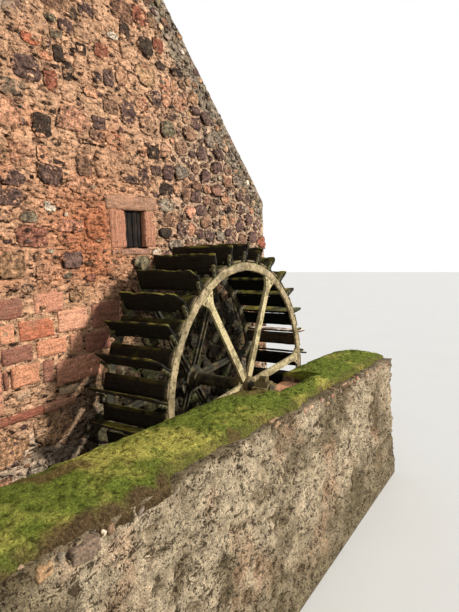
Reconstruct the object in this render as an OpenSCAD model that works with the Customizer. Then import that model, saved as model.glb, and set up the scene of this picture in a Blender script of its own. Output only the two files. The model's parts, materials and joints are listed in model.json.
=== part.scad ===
// Stone watermill with an iron breastshot wheel, in millimetres.
// X runs along the wheel side of the mill, Y from the wheel into the building, Z up.
// The origin is at the foot of the wheel gable, under the axle, in the middle of the wall.

/* [Walls] */
// Thickness of the rubble walls
wall_t = 700; // [500:50:900]
// Width of each gable, outside
gable_w = 6960; // [6600:20:7400]
// Length of the building, outside, along Y
mill_len = 8400; // [7000:100:10000]
// Distance of the ridge line to the left of the axle
ridge_left = 800; // [600:50:1000]
// Height of the gable's corner above the axle
eave_rise = 2720; // [2600:20:2900]
// Slope of the roof in degrees
roof_pitch = 44.2; // [40:0.2:48]

/* [Roof] */
// Thickness of a roof slope with its tiles
roof_t = 150; // [120:10:200]
// Height of the gable's edge over the tiles, square to the slope
skew_up = 90; // [60:10:120]
// Reach of the eaves past the side walls
eave_reach = 180; // [120:10:250]
// Radius of the ridge tiles
ridge_r = 150; // [120:10:180]

/* [Windows] */
// Width of a window opening
win_w = 360; // [300:10:420]
// Height of a window opening
win_h = 490; // [420:10:520]
// Height of the window sill above the axle
win_sill = 1940; // [1880:10:1960]
// Distance of the gable window's middle to the left of the axle
win_left = 790; // [780:10:900]
// Height of a lintel
lintel_h = 190; // [160:10:240]
// Width of the left jamb stone
jamb_wl = 280; // [220:10:300]
// Width of the right jamb stone
jamb_wr = 210; // [150:10:230]
// Length of the lintel past the opening on the right side
lintel_over = 250; // [240:10:320]
// Length of the lintel past the opening on the left side
lintel_left = 330; // [310:10:380]
// Height of a sill stone
sill_h = 100; // [60:10:120]
// Length of a sill past the opening on the right side
sill_over = 90; // [40:5:100]
// Length of the gable window's sill past the opening on the left side
sill_left = 280; // [200:10:300]
// Reach of a sill out of the wall
sill_out = 25; // [10:5:50]
// Height of the side windows' sills above the floor
side_sill = 1500; // [1200:50:1600]
// Width of a side window's jamb stones
side_jamb = 230; // [180:10:280]
// Depth of the boards behind the wall face
board_in = 60; // [40:5:150]
// Thickness of the window boards
board_t = 30; // [20:2:40]

/* [Door] */
// Width of the doorway
door_w = 1000; // [800:50:1200]
// Height of the doorway
door_h = 2000; // [1800:50:2050]
// Height of the floor under the axle
floor_down = 450; // [400:10:500]
// Thickness of the floor
floor_t = 150; // [100:10:200]
// Width of the door's jamb stones
door_jamb = 240; // [180:10:300]
// Height of the door's lintel
door_lintel_h = 280; // [220:10:300]
// Depth of the door leaf behind the wall face
door_in = 150; // [80:10:250]
// Thickness of the door leaf
door_t = 50; // [40:5:70]

/* [Water wheel] */
// Height of the axle above the bed of the race
axle_z = 2200; // [2150:10:2400]
// Outer radius of the rims
rim_r = 1700; // [1650:10:1750]
// Depth of a rim, across its face
rim_depth = 120; // [80:5:130]
// Thickness of a rim along the axle
rim_t = 45; // [35:5:70]
// Reach of the float tips past the rims
float_reach = 260; // [200:10:300]
// Number of floats
float_n = 30; // [24:1:32]
// Length of a float along the axle
float_len = 1000; // [900:10:1050]
// Thickness of a float board
float_t = 36; // [28:2:44]
// Lean of a float from the spoke line, in degrees
float_lean = 18; // [10:1:24]
// Angle of the first float's foot, in degrees
float_turn = 4.4; // [0:0.2:11.8]
// Width of a sole board around the rim
sole_w = 220; // [180:5:235]
// Thickness of a sole board
sole_t = 30; // [20:2:36]
// Length of a float's iron start above the rim
start_len = 130; // [90:5:160]
// Width of a float's start at its foot
start_w = 46; // [30:2:50]

/* [Arms and hubs] */
// Number of arms on each rim
arm_n = 6; // [4:1:8]
// Angle of the first arm, in degrees
arm_turn = 3.4; // [0:0.2:20]
// Width of an arm
arm_w = 96; // [80:4:120]
// Thickness of an arm
arm_t = 36; // [28:2:44]
// Spread of an arm where it meets the rim
arm_foot = 300; // [240:10:360]
// Reach of that spread down the arm
arm_flare = 210; // [150:10:260]
// Height of the rib behind an arm
rib_h = 34; // [20:2:50]
// Thickness of that rib
rib_t = 26; // [18:2:34]
// Radius of a hub's boss
boss_r = 125; // [115:5:150]
// Radius of a hub's flange
flange_r = 190; // [170:5:230]
// Thickness of a hub's flange
flange_t = 45; // [30:5:60]
// Length of a hub's boss
boss_len = 200; // [160:10:260]

/* [Axle and bearings] */
// Radius of the axle
axle_r = 85; // [75:1:95]
// Radius of the journal at the outer end
journal_r = 60; // [50:1:70]
// Running clearance round the axle and journal
run_gap = 0.3; // [0.2:0.1:0.5]
// Length of the bearing block
block_len = 200; // [150:10:240]
// Space between the pit wall's inner face and the block
block_in = 50; // [30:10:80]
// Height of the axle over the pad stone
pad_down = 120; // [110:5:150]
// Width of the block's foot plate
foot_w = 480; // [380:10:560]
// Thickness of the foot plate
foot_t = 35; // [25:5:45]
// Width of the block round the journal
block_w = 230; // [200:10:260]
// Radius of the cap over the journal
cap_r = 105; // [95:5:110]
// Width of the cap's flanges, end to end
cap_w = 320; // [280:10:360]
// Thickness of the cap's flanges
cap_t = 34; // [24:2:44]
// Radius of the boss on the cap
nub_r = 48; // [36:2:56]
// Height of that boss above the axle
nub_up = 165; // [150:5:180]
// Radius of the axle hole in the gable
hole_r = 150; // [140:5:180]
// Length of the bearing in the gable
bush_len = 400; // [200:50:450]
// Length of the axle past the gable, inside
axle_in = 80; // [40:10:150]

/* [Pit wall] */
// Space between the gable and the floats
back_gap = 200; // [150:10:250]
// Space between the floats and the pit wall
front_gap = 100; // [60:10:140]
// Thickness of the pit wall
pit_t = 1000; // [900:50:1200]
// Left end of the pit wall, from the axle
pit_left = 4700; // [4500:100:5500]
// Right end of the pit wall, from the axle
pit_right = 2950; // [2700:50:3200]
// Height of the pit wall's left end above the axle
pit_high = 230; // [180:10:300]
// Depth of the pit wall's right end under the axle
pit_low = 130; // [60:10:180]
// Lean of the pit wall's outer face, over its height
pit_batter = 120; // [0:10:200]
// Thickness of the earth capping at its middle
cap_h = 110; // [70:5:150]
// Ledge of bare stone in front of the capping
ledge = 110; // [60:10:200]
// Thickness of the pad stone
pad_t = 130; // [90:10:160]
// Left end of the pad stone, from the axle
pad_left = 420; // [350:10:500]
// Right end of the pad stone, from the axle
pad_right = 820; // [600:10:900]
// Depth of the pad stone, across the pit wall
pad_deep = 480; // [400:10:560]

/* [Band course] */
// Height of the projecting band's top above the axle
band_up = 250; // [200:10:300]
// Height of the band
band_h = 90; // [60:5:120]
// Reach of the band out of the wall
band_out = 50; // [20:5:70]
// Right end of the band, left of the axle
band_right = 1960; // [1700:20:2200]

/* [Hidden] */
$fn = 64;
stone = [0.72, 0.50, 0.38];
dressed = [0.74, 0.42, 0.33];
tile = [0.66, 0.33, 0.22];
timber = [0.17, 0.17, 0.12];
plank = [0.30, 0.27, 0.24];
iron = [0.62, 0.56, 0.42];
moss = [0.38, 0.47, 0.16];
seat = 0.3;      // gap left where curved or bedded faces seat
past = 10;       // overrun of a cutting shape
face_y = -wall_t / 2;             // outer face of the wheel gable
room_y = wall_t / 2;              // inner face of the wheel gable
back_y = mill_len - wall_t / 2;   // outer face of the back gable
far_y = back_y - wall_t;          // inner face of the back gable
left_x = -ridge_left - gable_w / 2;
right_x = -ridge_left + gable_w / 2;
eave_z = axle_z + eave_rise;
ridge_z = eave_z + gable_w / 2 * tan(roof_pitch);
floor_z = axle_z - floor_down;
sill_z = axle_z + win_sill;
head_z = sill_z + win_h;
cut_x0 = -win_left - win_w / 2 - lintel_left;    // left edge of the gable's middle strip
cut_x1 = -win_left + win_w / 2 + lintel_over;    // right edge of that strip
door_x0 = -ridge_left - door_w / 2 - door_jamb;  // left edge of the back gable's middle strip
door_x1 = -ridge_left + door_w / 2 + door_jamb;
door_top = floor_z + door_h + door_lintel_h;
mid_y = (room_y + far_y) / 2;
side_z = floor_z + side_sill;
// Each window's place, its turn, the widths of its jambs and the reach of its lintel and sill, left and right
windows = [
    [[-win_left, face_y, sill_z], 0, [jamb_wl, jamb_wr], [lintel_left, lintel_over], [sill_left, sill_over]],
    [[left_x, mid_y, side_z], -90, [side_jamb, side_jamb], [side_jamb, side_jamb], [sill_over, sill_over]],
    [[right_x, mid_y, side_z], 90, [side_jamb, side_jamb], [side_jamb, side_jamb], [sill_over, sill_over]],
];
wheel_back = face_y - back_gap;
wheel_front = wheel_back - float_len;
pit_in = wheel_front - front_gap;
pit_out = pit_in - pit_t;
pit_slope = atan((pit_high + pit_low) / (pit_left + pit_right));
pad_z = axle_z - pad_down;
rim_in = rim_r - rim_depth;

// Height of a raking line at x: the gable's edge, dropped by a depth square to the slope.
function rake(x, drop) = ridge_z - abs(x + ridge_left) * tan(roof_pitch) - drop / cos(roof_pitch);

// Extrudes a shape drawn in X and Z from y0 by a length along +Y.
module along_y(y0, length) {
    translate([0, y0 + length, 0]) rotate([90, 0, 0]) linear_extrude(length) children();
}

// Extrudes a shape drawn round the axle.
module on_axle(y0, length) {
    translate([0, 0, axle_z]) along_y(y0, length) children();
}

// Extrudes a shape drawn in Y and Z from x0 by a length along +X.
module along_x(x0, length) {
    translate([x0, 0, 0]) rotate([90, 0, 90]) linear_extrude(length) children();
}

// Mirrors a piece of the front rim's side to the back rim's side.
module to_back() {
    translate([0, wheel_front + wheel_back, 0]) mirror([0, 1, 0]) children();
}

// A block from one corner to the other.
module block(low, high) {
    translate(low) cube(high - low);
}

// Outline of a gable between two upright lines and above a level.
module gable_strip(x0, x1, z0) {
    peak = x0 < -ridge_left && x1 > -ridge_left ? [[-ridge_left, ridge_z]] : [];
    polygon(concat([[x0, z0], [x1, z0], [x1, rake(x1, 0)]], peak, [[x0, rake(x0, 0)]]));
}

// Walls

module wheel_gable_left() {
    color(stone) {
        along_y(face_y, wall_t) gable_strip(left_x, cut_x0, 0);
        block([cut_x0 - past, face_y, sill_z], [-win_left - win_w / 2 - jamb_wl, room_y, head_z]);
    }
}

module wheel_gable_right() {
    color(stone) difference() {
        union() {
            along_y(face_y, wall_t) gable_strip(cut_x1, right_x, 0);
            block([-win_left + win_w / 2 + jamb_wr, face_y, sill_z], [cut_x1 + past, room_y, head_z]);
        }
        on_axle(face_y - past, wall_t + 2 * past) circle(hole_r);
    }
}

module wheel_gable_under_window() {
    color(stone) difference() {
        block([cut_x0, face_y, 0], [cut_x1, room_y, sill_z]);
        window_space(windows[0]);
    }
}

module wheel_gable_top() {
    color(stone) difference() {
        along_y(face_y, wall_t) gable_strip(cut_x0, cut_x1, head_z);
        window_space(windows[0]);
    }
}

module back_gable_left() {
    color(stone) along_y(far_y, wall_t) gable_strip(left_x, door_x0, 0);
}

module back_gable_right() {
    color(stone) along_y(far_y, wall_t) gable_strip(door_x1, right_x, 0);
}

module back_gable_under_door() {
    color(stone) block([door_x0, far_y, 0], [door_x1, back_y, floor_z - floor_t]);
}

module back_gable_top() {
    color(stone) along_y(far_y, wall_t) gable_strip(door_x0, door_x1, door_top);
}

// A side wall between the gables, its head cut to the underside of the roof.
module side_wall(x0, x1, window) {
    drop = skew_up + roof_t;
    difference() {
        along_y(room_y, far_y - room_y)
            polygon([[x0, 0], [x1, 0], [x1, rake(x1, drop)], [x0, rake(x0, drop)]]);
        window_space(window);
    }
}

module left_side_wall() { color(stone) side_wall(left_x, left_x + wall_t, windows[1]); }
module right_side_wall() { color(stone) side_wall(right_x - wall_t, right_x, windows[2]); }

module ground_floor() {
    color(dressed) block([left_x + wall_t, room_y, floor_z - floor_t], [right_x - wall_t, far_y, floor_z]);
}

// Roof

// Outline of one slope: a slab from the ridge line to past the side wall.
module slope_outline() {
    run = gable_w / 2 + eave_reach;
    fall = run * tan(roof_pitch);
    top = ridge_z - skew_up / cos(roof_pitch);
    under = top - roof_t / cos(roof_pitch);
    reach = roof_t * sin(roof_pitch);
    polygon([[0, under], [0, top], [run, top - fall], [run - reach, top - fall - roof_t * cos(roof_pitch)]]);
}

module roof_right_slope() {
    color(tile) translate([-ridge_left, 0, 0]) along_y(room_y, far_y - room_y) slope_outline();
}

module roof_left_slope() {
    color(tile) translate([-ridge_left, 0, 0]) along_y(room_y, far_y - room_y) mirror([1, 0]) slope_outline();
}

// Round ridge tiles bedded astride the two slopes.
module ridge_tiles() {
    top = ridge_z - skew_up / cos(roof_pitch) + seat;
    color(tile) translate([-ridge_left, 0, top]) along_y(room_y, far_y - room_y) difference() {
        translate([0, -ridge_r / 3]) circle(ridge_r);
        polygon([[0, 0], [2 * ridge_r, -2 * ridge_r * tan(roof_pitch)],
            [2 * ridge_r, -4 * ridge_r], [-2 * ridge_r, -4 * ridge_r], [-2 * ridge_r, -2 * ridge_r * tan(roof_pitch)]]);
    }
}

// Windows: drawn in a frame at the middle of the sill, X along the wall and Y into it.

module at_window(window) {
    translate(window[0]) rotate([0, 0, window[1]]) children();
}

module lintel_stone(window, grow) {
    block([-win_w / 2 - window[3][0], -grow, win_h],
        [win_w / 2 + window[3][1], wall_t + grow, win_h + lintel_h]);
}

module jamb_stones(window, grow) {
    block([-win_w / 2 - window[2][0], -grow, 0], [-win_w / 2, wall_t + grow, win_h]);
    block([win_w / 2, -grow, 0], [win_w / 2 + window[2][1], wall_t + grow, win_h]);
}

module sill_stone(window, grow) {
    block([-win_w / 2 - window[4][0], -sill_out - grow, -sill_h],
        [win_w / 2 + window[4][1], wall_t + grow, 0]);
}

// The room that a window and its stones take in a wall.
module window_space(window) {
    at_window(window) {
        lintel_stone(window, past);
        jamb_stones(window, past);
        sill_stone(window, past);
        block([-win_w / 2 - past, -past, -past], [win_w / 2 + past, wall_t + past, win_h + past]);
    }
}

module window_lintels() {
    color(dressed) for (w = windows) at_window(w) lintel_stone(w, 0);
}

module window_jambs() {
    color(dressed) for (w = windows) at_window(w) jamb_stones(w, 0);
}

module window_sills() {
    color(dressed) for (w = windows) at_window(w) sill_stone(w, 0);
}

module window_boards() {
    color(plank) for (w = windows) at_window(w)
        block([-win_w / 2, board_in, 0], [win_w / 2, board_in + board_t, win_h]);
}

// Door in the back gable

module door_lintel() {
    color(dressed) block([door_x0, far_y, floor_z + door_h], [door_x1, back_y, door_top]);
}

module door_jambs() {
    color(dressed) {
        block([door_x0, far_y, floor_z], [door_x0 + door_jamb, back_y, floor_z + door_h]);
        block([door_x1 - door_jamb, far_y, floor_z], [door_x1, back_y, floor_z + door_h]);
    }
}

module door_threshold() {
    color(dressed) block([door_x0, far_y, floor_z - floor_t], [door_x1, back_y, floor_z]);
}

module door_leaf() {
    color(plank) block([door_x0 + door_jamb, back_y - door_in - door_t, floor_z],
        [door_x1 - door_jamb, back_y - door_in, floor_z + door_h]);
}

// Thin projecting band of stone across the left of the wheel gable.
module band_course() {
    color(dressed) block([left_x, face_y - band_out, axle_z + band_up - band_h],
        [-band_right, face_y, axle_z + band_up]);
}

// Pit wall

// Outline of the pit wall along the race, with its falling top.
module pit_side(top) {
    polygon([[-pit_left, 0], [pit_right, 0], [pit_right, axle_z - pit_low + top],
        [-pit_left, axle_z + pit_high + top]]);
}

// The seat cut in the pit wall for the pad stone, open to the pit and to the sky.
module pad_seat() {
    block([-pad_left, pit_in - pad_deep, pad_z - pad_t], [pad_right, pit_in + past, axle_z + pit_high + cap_h]);
}

module pit_wall() {
    high = axle_z + pit_high;
    color(stone) difference() {
        intersection() {
            along_y(pit_out - pit_batter, pit_t + pit_batter) pit_side(0);
            along_x(-pit_left, pit_left + pit_right)
                polygon([[pit_in, 0], [pit_in, high], [pit_out, high], [pit_out - pit_batter, 0]]);
        }
        pad_seat();
    }
}

// Mound of earth along the top of the pit wall, with an arched section.
module earth_capping() {
    chord = pit_t - ledge;
    arch_r = (chord * chord / 4 + cap_h * cap_h) / (2 * cap_h);
    color(moss) difference() {
        intersection() {
            translate([-pit_left, 0, axle_z + pit_high]) rotate([0, pit_slope, 0])
                along_x(-past, (pit_left + pit_right) / cos(pit_slope) + 2 * past) intersection() {
                    translate([pit_in - chord / 2, cap_h - arch_r]) circle(arch_r, $fn = 200);
                    translate([pit_in - chord, 0]) square([chord, cap_h]);
                }
            along_y(pit_out, pit_t) pit_side(2 * cap_h);
        }
        pad_seat();
    }
}

module pad_stone() {
    color(dressed) block([-pad_left, pit_in - pad_deep, pad_z - pad_t], [pad_right, pit_in, pad_z]);
}

// Bearings

module bearing_block() {
    color(iron) on_axle(pit_in - block_in - block_len, block_len) difference() {
        union() {
            translate([-foot_w / 2, -pad_down]) square([foot_w, foot_t]);
            translate([-block_w / 2, -pad_down]) square([block_w, pad_down]);
            translate([-cap_w / 2, -cap_t]) square([cap_w, cap_t]);
        }
        circle(journal_r + run_gap);
    }
}

module bearing_cap() {
    y0 = pit_in - block_in - block_len;
    color(iron) {
        difference() {
            union() {
                on_axle(y0, block_len) intersection() {
                    circle(cap_r);
                    translate([-cap_r, 0]) square([2 * cap_r, cap_r]);
                }
                on_axle(y0, block_len) translate([-cap_w / 2, 0]) square([cap_w, cap_t]);
                on_axle(y0 + block_len / 4, block_len / 2) {
                    translate([0, nub_up - nub_r]) circle(nub_r);
                    translate([-nub_r, 0]) square([2 * nub_r, nub_up - nub_r]);
                }
            }
            on_axle(y0 - past, block_len + 2 * past) circle(journal_r + run_gap);
        }
    }
}

module wall_bearing() {
    color(iron) on_axle(room_y - bush_len, bush_len) difference() {
        circle(hole_r - seat);
        circle(axle_r + run_gap);
    }
}

// Wheel

hub_front = wheel_front - (boss_len - rim_t) / 4;
arm_front = wheel_front + (rim_t - arm_t) / 2;
arm_back = arm_front + arm_t;
tip_r = rim_r + float_reach;
foot_r = rim_r + seat + float_t / 2 * sin(float_lean);
float_h = sqrt(tip_r * tip_r - pow(foot_r * sin(float_lean), 2)) - foot_r * cos(float_lean);
// Angle from a float's foot to the middle of its sole board
sole_turn = atan((sole_w / 2 + float_t / 2 / cos(float_lean) + sole_t * tan(float_lean) + 1) / rim_r);

// Angle of the foot of a float.
function foot_angle(i) = float_turn + i * 360 / float_n;

module axle() {
    journal_y = pit_in - block_in - block_len - 2 * past;
    color(iron) union() {
        on_axle(journal_y, hub_front - journal_y + past) circle(journal_r);
        on_axle(hub_front, room_y + axle_in - hub_front) circle(axle_r);
    }
}

module front_hub() {
    color(iron) difference() {
        union() {
            on_axle(hub_front, boss_len) circle(boss_r);
            on_axle(arm_back, flange_t) circle(flange_r);
        }
        on_axle(hub_front - past, boss_len + 2 * past) circle(axle_r + seat);
    }
}

module back_hub() { to_back() front_hub(); }

// One cast rim: a flat ring with a start behind the foot of every float.
module rim() {
    color(iron) on_axle(wheel_front, rim_t) union() {
        difference() {
            circle(rim_r, $fn = 180);
            circle(rim_in, $fn = 180);
        }
        for (i = [0:float_n - 1]) at_foot(i) {
            y0 = float_t / 2 + seat;
            polygon([[-rim_depth / 2, y0], [start_len, y0], [start_len - rim_t / 2, y0 + start_w / 3],
                [0, y0 + start_w], [-rim_depth / 2, y0 + start_w]]);
        }
    }
}

module front_rim() { rim(); }
module back_rim() { to_back() rim(); }

// Puts a shape at the foot of a float, X along the board.
module at_foot(i) {
    rotate(foot_angle(i)) translate([foot_r, 0]) rotate(-float_lean) children();
}

// Outline of one arm from the boss to the rim, spreading in a curve to its foot.
module arm_outline() {
    r0 = rim_in - arm_flare;
    steps = 6;
    side = [for (i = [0:steps]) let (s = i / steps)
        [r0 + s * (arm_flare + past), arm_w / 2 + (arm_foot - arm_w) / 2 * s * s]];
    intersection() {
        polygon(concat([[boss_r + seat, arm_w / 2 + past]], side,
            [for (i = [steps:-1:0]) [side[i][0], -side[i][1]]], [[boss_r + seat, -arm_w / 2 - past]]));
        circle(rim_in - seat, $fn = 180);
    }
}

module arms() {
    color(iron) for (i = [0:arm_n - 1]) translate([0, 0, axle_z]) rotate([0, -arm_turn - i * 360 / arm_n, 0]) {
        along_y(arm_front, arm_t) arm_outline();
        block([flange_r + past, arm_back - 1, -rib_t / 2], [rim_in - arm_flare / 2, arm_back + rib_h, rib_t / 2]);
    }
}

module front_arms() { arms(); }
module back_arms() { to_back() arms(); }

module float_boards() {
    color(timber) on_axle(wheel_front, float_len) for (i = [0:float_n - 1])
        at_foot(i) translate([0, -float_t / 2]) square([float_h, float_t]);
}

module sole_boards() {
    color(timber) on_axle(wheel_front, float_len) for (i = [0:float_n - 1])
        rotate(foot_angle(i) - sole_turn) translate([rim_r + seat, -sole_w / 2]) square([sole_t, sole_w]);
}

wheel_gable_left();
wheel_gable_right();
wheel_gable_under_window();
wheel_gable_top();
back_gable_left();
back_gable_right();
back_gable_under_door();
back_gable_top();
left_side_wall();
right_side_wall();
ground_floor();
roof_left_slope();
roof_right_slope();
ridge_tiles();
window_lintels();
window_jambs();
window_sills();
window_boards();
door_lintel();
door_jambs();
door_threshold();
door_leaf();
band_course();
pit_wall();
earth_capping();
pad_stone();
bearing_block();
bearing_cap();
wall_bearing();
axle();
front_hub();
back_hub();
front_rim();
back_rim();
front_arms();
back_arms();
float_boards();
sole_boards();
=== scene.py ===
# %% [markdown]
# A stone watermill, dressed round its packed frame
# The frame holds every wall, rim, arm and board at its real size. This lesson adds what the frame leaves
# plain: the rubble of the walls, worn boards, pitted castings, moss and rough lime. Every new shape is a
# surface worked out with numpy from the sizes that the frame gives, so a piece sits where the mill has it.

# %% Load the frame
import itertools
import json
import math
from collections import namedtuple

import bpy
import bmesh
import numpy as np
from mathutils import Matrix, Vector


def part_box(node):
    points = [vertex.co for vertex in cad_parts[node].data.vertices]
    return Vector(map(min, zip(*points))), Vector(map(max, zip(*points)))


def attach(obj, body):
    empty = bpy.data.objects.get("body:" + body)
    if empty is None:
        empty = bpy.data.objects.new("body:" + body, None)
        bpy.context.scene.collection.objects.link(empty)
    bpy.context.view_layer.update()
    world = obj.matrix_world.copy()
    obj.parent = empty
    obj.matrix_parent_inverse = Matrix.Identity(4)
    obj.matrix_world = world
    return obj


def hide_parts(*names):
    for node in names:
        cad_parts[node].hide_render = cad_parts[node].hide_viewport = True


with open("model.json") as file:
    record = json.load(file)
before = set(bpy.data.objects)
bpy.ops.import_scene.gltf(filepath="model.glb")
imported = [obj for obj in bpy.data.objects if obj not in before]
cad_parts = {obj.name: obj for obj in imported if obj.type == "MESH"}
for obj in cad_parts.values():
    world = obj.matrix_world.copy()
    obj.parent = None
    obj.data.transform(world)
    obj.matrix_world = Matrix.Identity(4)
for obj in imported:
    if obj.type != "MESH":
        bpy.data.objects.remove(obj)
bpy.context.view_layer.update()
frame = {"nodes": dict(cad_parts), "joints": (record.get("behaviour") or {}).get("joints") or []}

# %% [markdown]
# Sizes that several pieces share are read from the frame's boxes. The slope of the roof is the rise of the
# gable's edge from the inner corner of the back gable's right strip to the ridge, divided by the run.

# %% Sizes of the mill, in metres
gable_low, gable_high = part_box("wheel_gable_left")
far_low, far_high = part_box("back_gable_right")
left_x, right_x = gable_low.x, far_high.x
face_y, room_y, far_y, back_y = gable_low.y, gable_high.y, far_low.y, far_high.y
ridge_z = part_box("wheel_gable_top")[1].z
ridge_x = (left_x + right_x) / 2
slope = (ridge_z - far_high.z) / (far_low.x - ridge_x)
slope_cos = math.cos(math.atan(slope))
axle = np.array(frame["joints"][0]["pos_m"])
wheel_front, wheel_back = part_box("float_boards")[0].y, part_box("float_boards")[1].y
print("slope", round(slope, 3), "ridge", round(ridge_z, 2), "axle", axle)

# %% [markdown]
# Rough stone, lime and moss all need smooth randomness that is the same at each run. A hashed number sits
# at every corner of a lattice of cubes and is blended between the corners. Sums of finer and finer lattices
# give a surface that is rough at several scales, as broken stone is.

# %% Noise
HASH_FACTORS = (73856093, 19349663, 83492791, 26544357)  # for the three coordinates of a corner and the seed
HASH_ROUNDS = ((15, 2246822519), (13, 3266489917))  # shift and factor of each round that stirs the number
WORD = 0xFFFFFFFF  # keeps the number within 32 bits


def lattice_noise(points, size, seed=0):
    """Smooth random numbers from -1 to 1: hashed corners of a lattice, blended with t * t * (3 - 2 * t)."""
    scaled = np.asarray(points, float) / size
    cell = np.floor(scaled).astype(np.int64)
    t = scaled - cell
    t = t * t * (3 - 2 * t)
    total = np.zeros(scaled.shape[:-1])
    for corner in itertools.product((0, 1), repeat=3):
        a, b, c = np.moveaxis(cell + np.array(corner), -1, 0)
        h = a * HASH_FACTORS[0] ^ b * HASH_FACTORS[1] ^ c * HASH_FACTORS[2] ^ seed * HASH_FACTORS[3]
        h = h & WORD
        for shift, factor in HASH_ROUNDS:
            h = (h ^ h >> shift) * factor & WORD
        total += (((h ^ h >> 16) & 0xFFFF) / 32767.5 - 1) * np.prod(np.where(corner, t, 1 - t), axis=-1)
    return total


def rough(points, size, seed=0, octaves=3):
    """Lattice noise summed over octaves, each of half the size and half the height of the one before."""
    return sum(lattice_noise(points, size / 2**k, seed + 17 * k) / 2**k for k in range(octaves))


def step(x, low, high):
    """0 below low, 1 above high, and t * t * (3 - 2 * t) between them."""
    t = np.clip((np.asarray(x, float) - low) / (high - low), 0, 1)
    return t * t * (3 - 2 * t)


def ink(*values):
    """Linear colour of a screen colour given from 0 to 255."""
    v = np.array(values) / 255
    return np.where(v <= 0.04045, v / 12.92, ((v + 0.055) / 1.055) ** 2.4)


def mixed(a, b, t):
    """Colour a where t is 0, colour b where t is 1."""
    return a + (b - a) * np.asarray(t)[..., None]


print("noise of the axle:", round(float(rough(axle[None], 0.5)[0]), 3))

# %% [markdown]
# A piece of hundreds of stones or tiles is one mesh of many closed shells. A Form gathers the points, the
# faces and the marks of each shell, and puts them into one mesh at the end with foreach_set. Marks are
# values that the finishes read at each point: a tint, the colour of the lime beside it, and how near the
# rim of a stone it is.

# %% Forms and meshes


def sheet_quads(rows, columns, close_rows=False, close_columns=False):
    """Corner numbers of the quads in a grid of points. A closed way joins its last line to its first."""
    r = np.arange(rows if close_rows else rows - 1)[:, None]
    c = np.arange(columns if close_columns else columns - 1)[None, :]
    r, c = np.broadcast_arrays(r, c)
    r1, c1 = (r + 1) % rows, (c + 1) % columns
    corners = [r * columns + c, r * columns + c1, r1 * columns + c1, r1 * columns + c]
    return np.stack(corners, -1).reshape(-1, 4)


def fan(ring, centre):
    """Triangles from each side of a ring of point numbers to a centre point."""
    return np.stack([ring, np.roll(ring, -1), np.full_like(ring, centre)], -1)


class Form:
    """Shells of a piece that is being made, each a set of points, quads, triangles and marks."""

    def __init__(self):
        self.points, self.quads, self.tris, self.marks = [], [], [], {}
        self.count = 0

    def add(self, points, quads=(), tris=(), copies=1, **marks):
        """Adds shells that share their faces: points holds them one after another, copies says how many."""
        points = np.asarray(points, float).reshape(-1, 3)
        each = len(points) // copies
        shift = self.count + each * np.arange(copies)[:, None, None]
        for store, faces, corners in ((self.quads, quads, 4), (self.tris, tris, 3)):
            faces = np.asarray(faces, np.int64).reshape(-1, corners)
            store.append((faces[None] + shift).reshape(-1, corners))
        for name, value in marks.items():
            value = np.atleast_1d(np.asarray(value, float))
            if value.size <= 3:
                value = np.broadcast_to(value.ravel(), (len(points), value.size))
            self.marks.setdefault(name, []).append(value.reshape(len(points), -1))
        self.points.append(points)
        self.count += len(points)

    def mesh(self, name, flip=False):
        """One mesh of all the shells. Colours become colour attributes, and single numbers float ones."""
        points, quads, tris = (np.concatenate(a) for a in (self.points, self.quads, self.tris))
        if flip:
            quads, tris = quads[:, ::-1], tris[:, ::-1]
        mesh = bpy.data.meshes.new(name)
        mesh.vertices.add(len(points))
        mesh.vertices.foreach_set("co", points.astype(np.float32).ravel())
        corners = np.concatenate([quads.ravel(), tris.ravel()])
        mesh.loops.add(len(corners))
        mesh.loops.foreach_set("vertex_index", corners.astype(np.int32))
        starts = np.concatenate([4 * np.arange(len(quads)), 4 * len(quads) + 3 * np.arange(len(tris))])
        mesh.polygons.add(len(starts))
        mesh.polygons.foreach_set("loop_start", starts.astype(np.int32))
        mesh.update(calc_edges=True)
        for mark, parts in self.marks.items():
            values = np.concatenate(parts)
            if values.shape[1] == 3:
                values = np.concatenate([values, np.ones((len(values), 1))], 1)
            kind, field = ("FLOAT_COLOR", "color") if values.shape[1] == 4 else ("FLOAT", "value")
            data = mesh.attributes.new(mark, kind, "POINT").data
            data.foreach_set(field, values.astype(np.float32).ravel())
        return mesh


def place(form, name, finish, slot, replaces=(), body="building", flip=False, smooth=True):
    """Makes a piece of a form or a mesh: its finish and body, and the nodes that it stands for. The slot is
    not used.
    """
    mesh = form.mesh(name, flip) if isinstance(form, Form) else form
    mesh.validate()
    mesh.polygons.foreach_set("use_smooth", np.full(len(mesh.polygons), smooth))
    mesh.materials.append(finish)
    piece = bpy.data.objects.new(name, mesh)
    bpy.context.scene.collection.objects.link(piece)
    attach(piece, body)
    if replaces:
        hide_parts(*replaces)
    mesh.calc_loop_triangles()
    print(f"{name}: {len(mesh.vertices)} points, {len(mesh.loop_triangles)} triangles")


print("quads of a grid of 3 by 4 points:", len(sheet_quads(3, 4)))

# %% [markdown]
# Finishes are node trees. Each one reads the piece's own place, so a pattern has its real size on every
# piece and stays put in every view. This small class adds one node at a time, so that a finish reads as a
# list of layers: a colour, patches over it, specks, and a height that becomes fine relief.

# %% Finishes made of nodes


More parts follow.
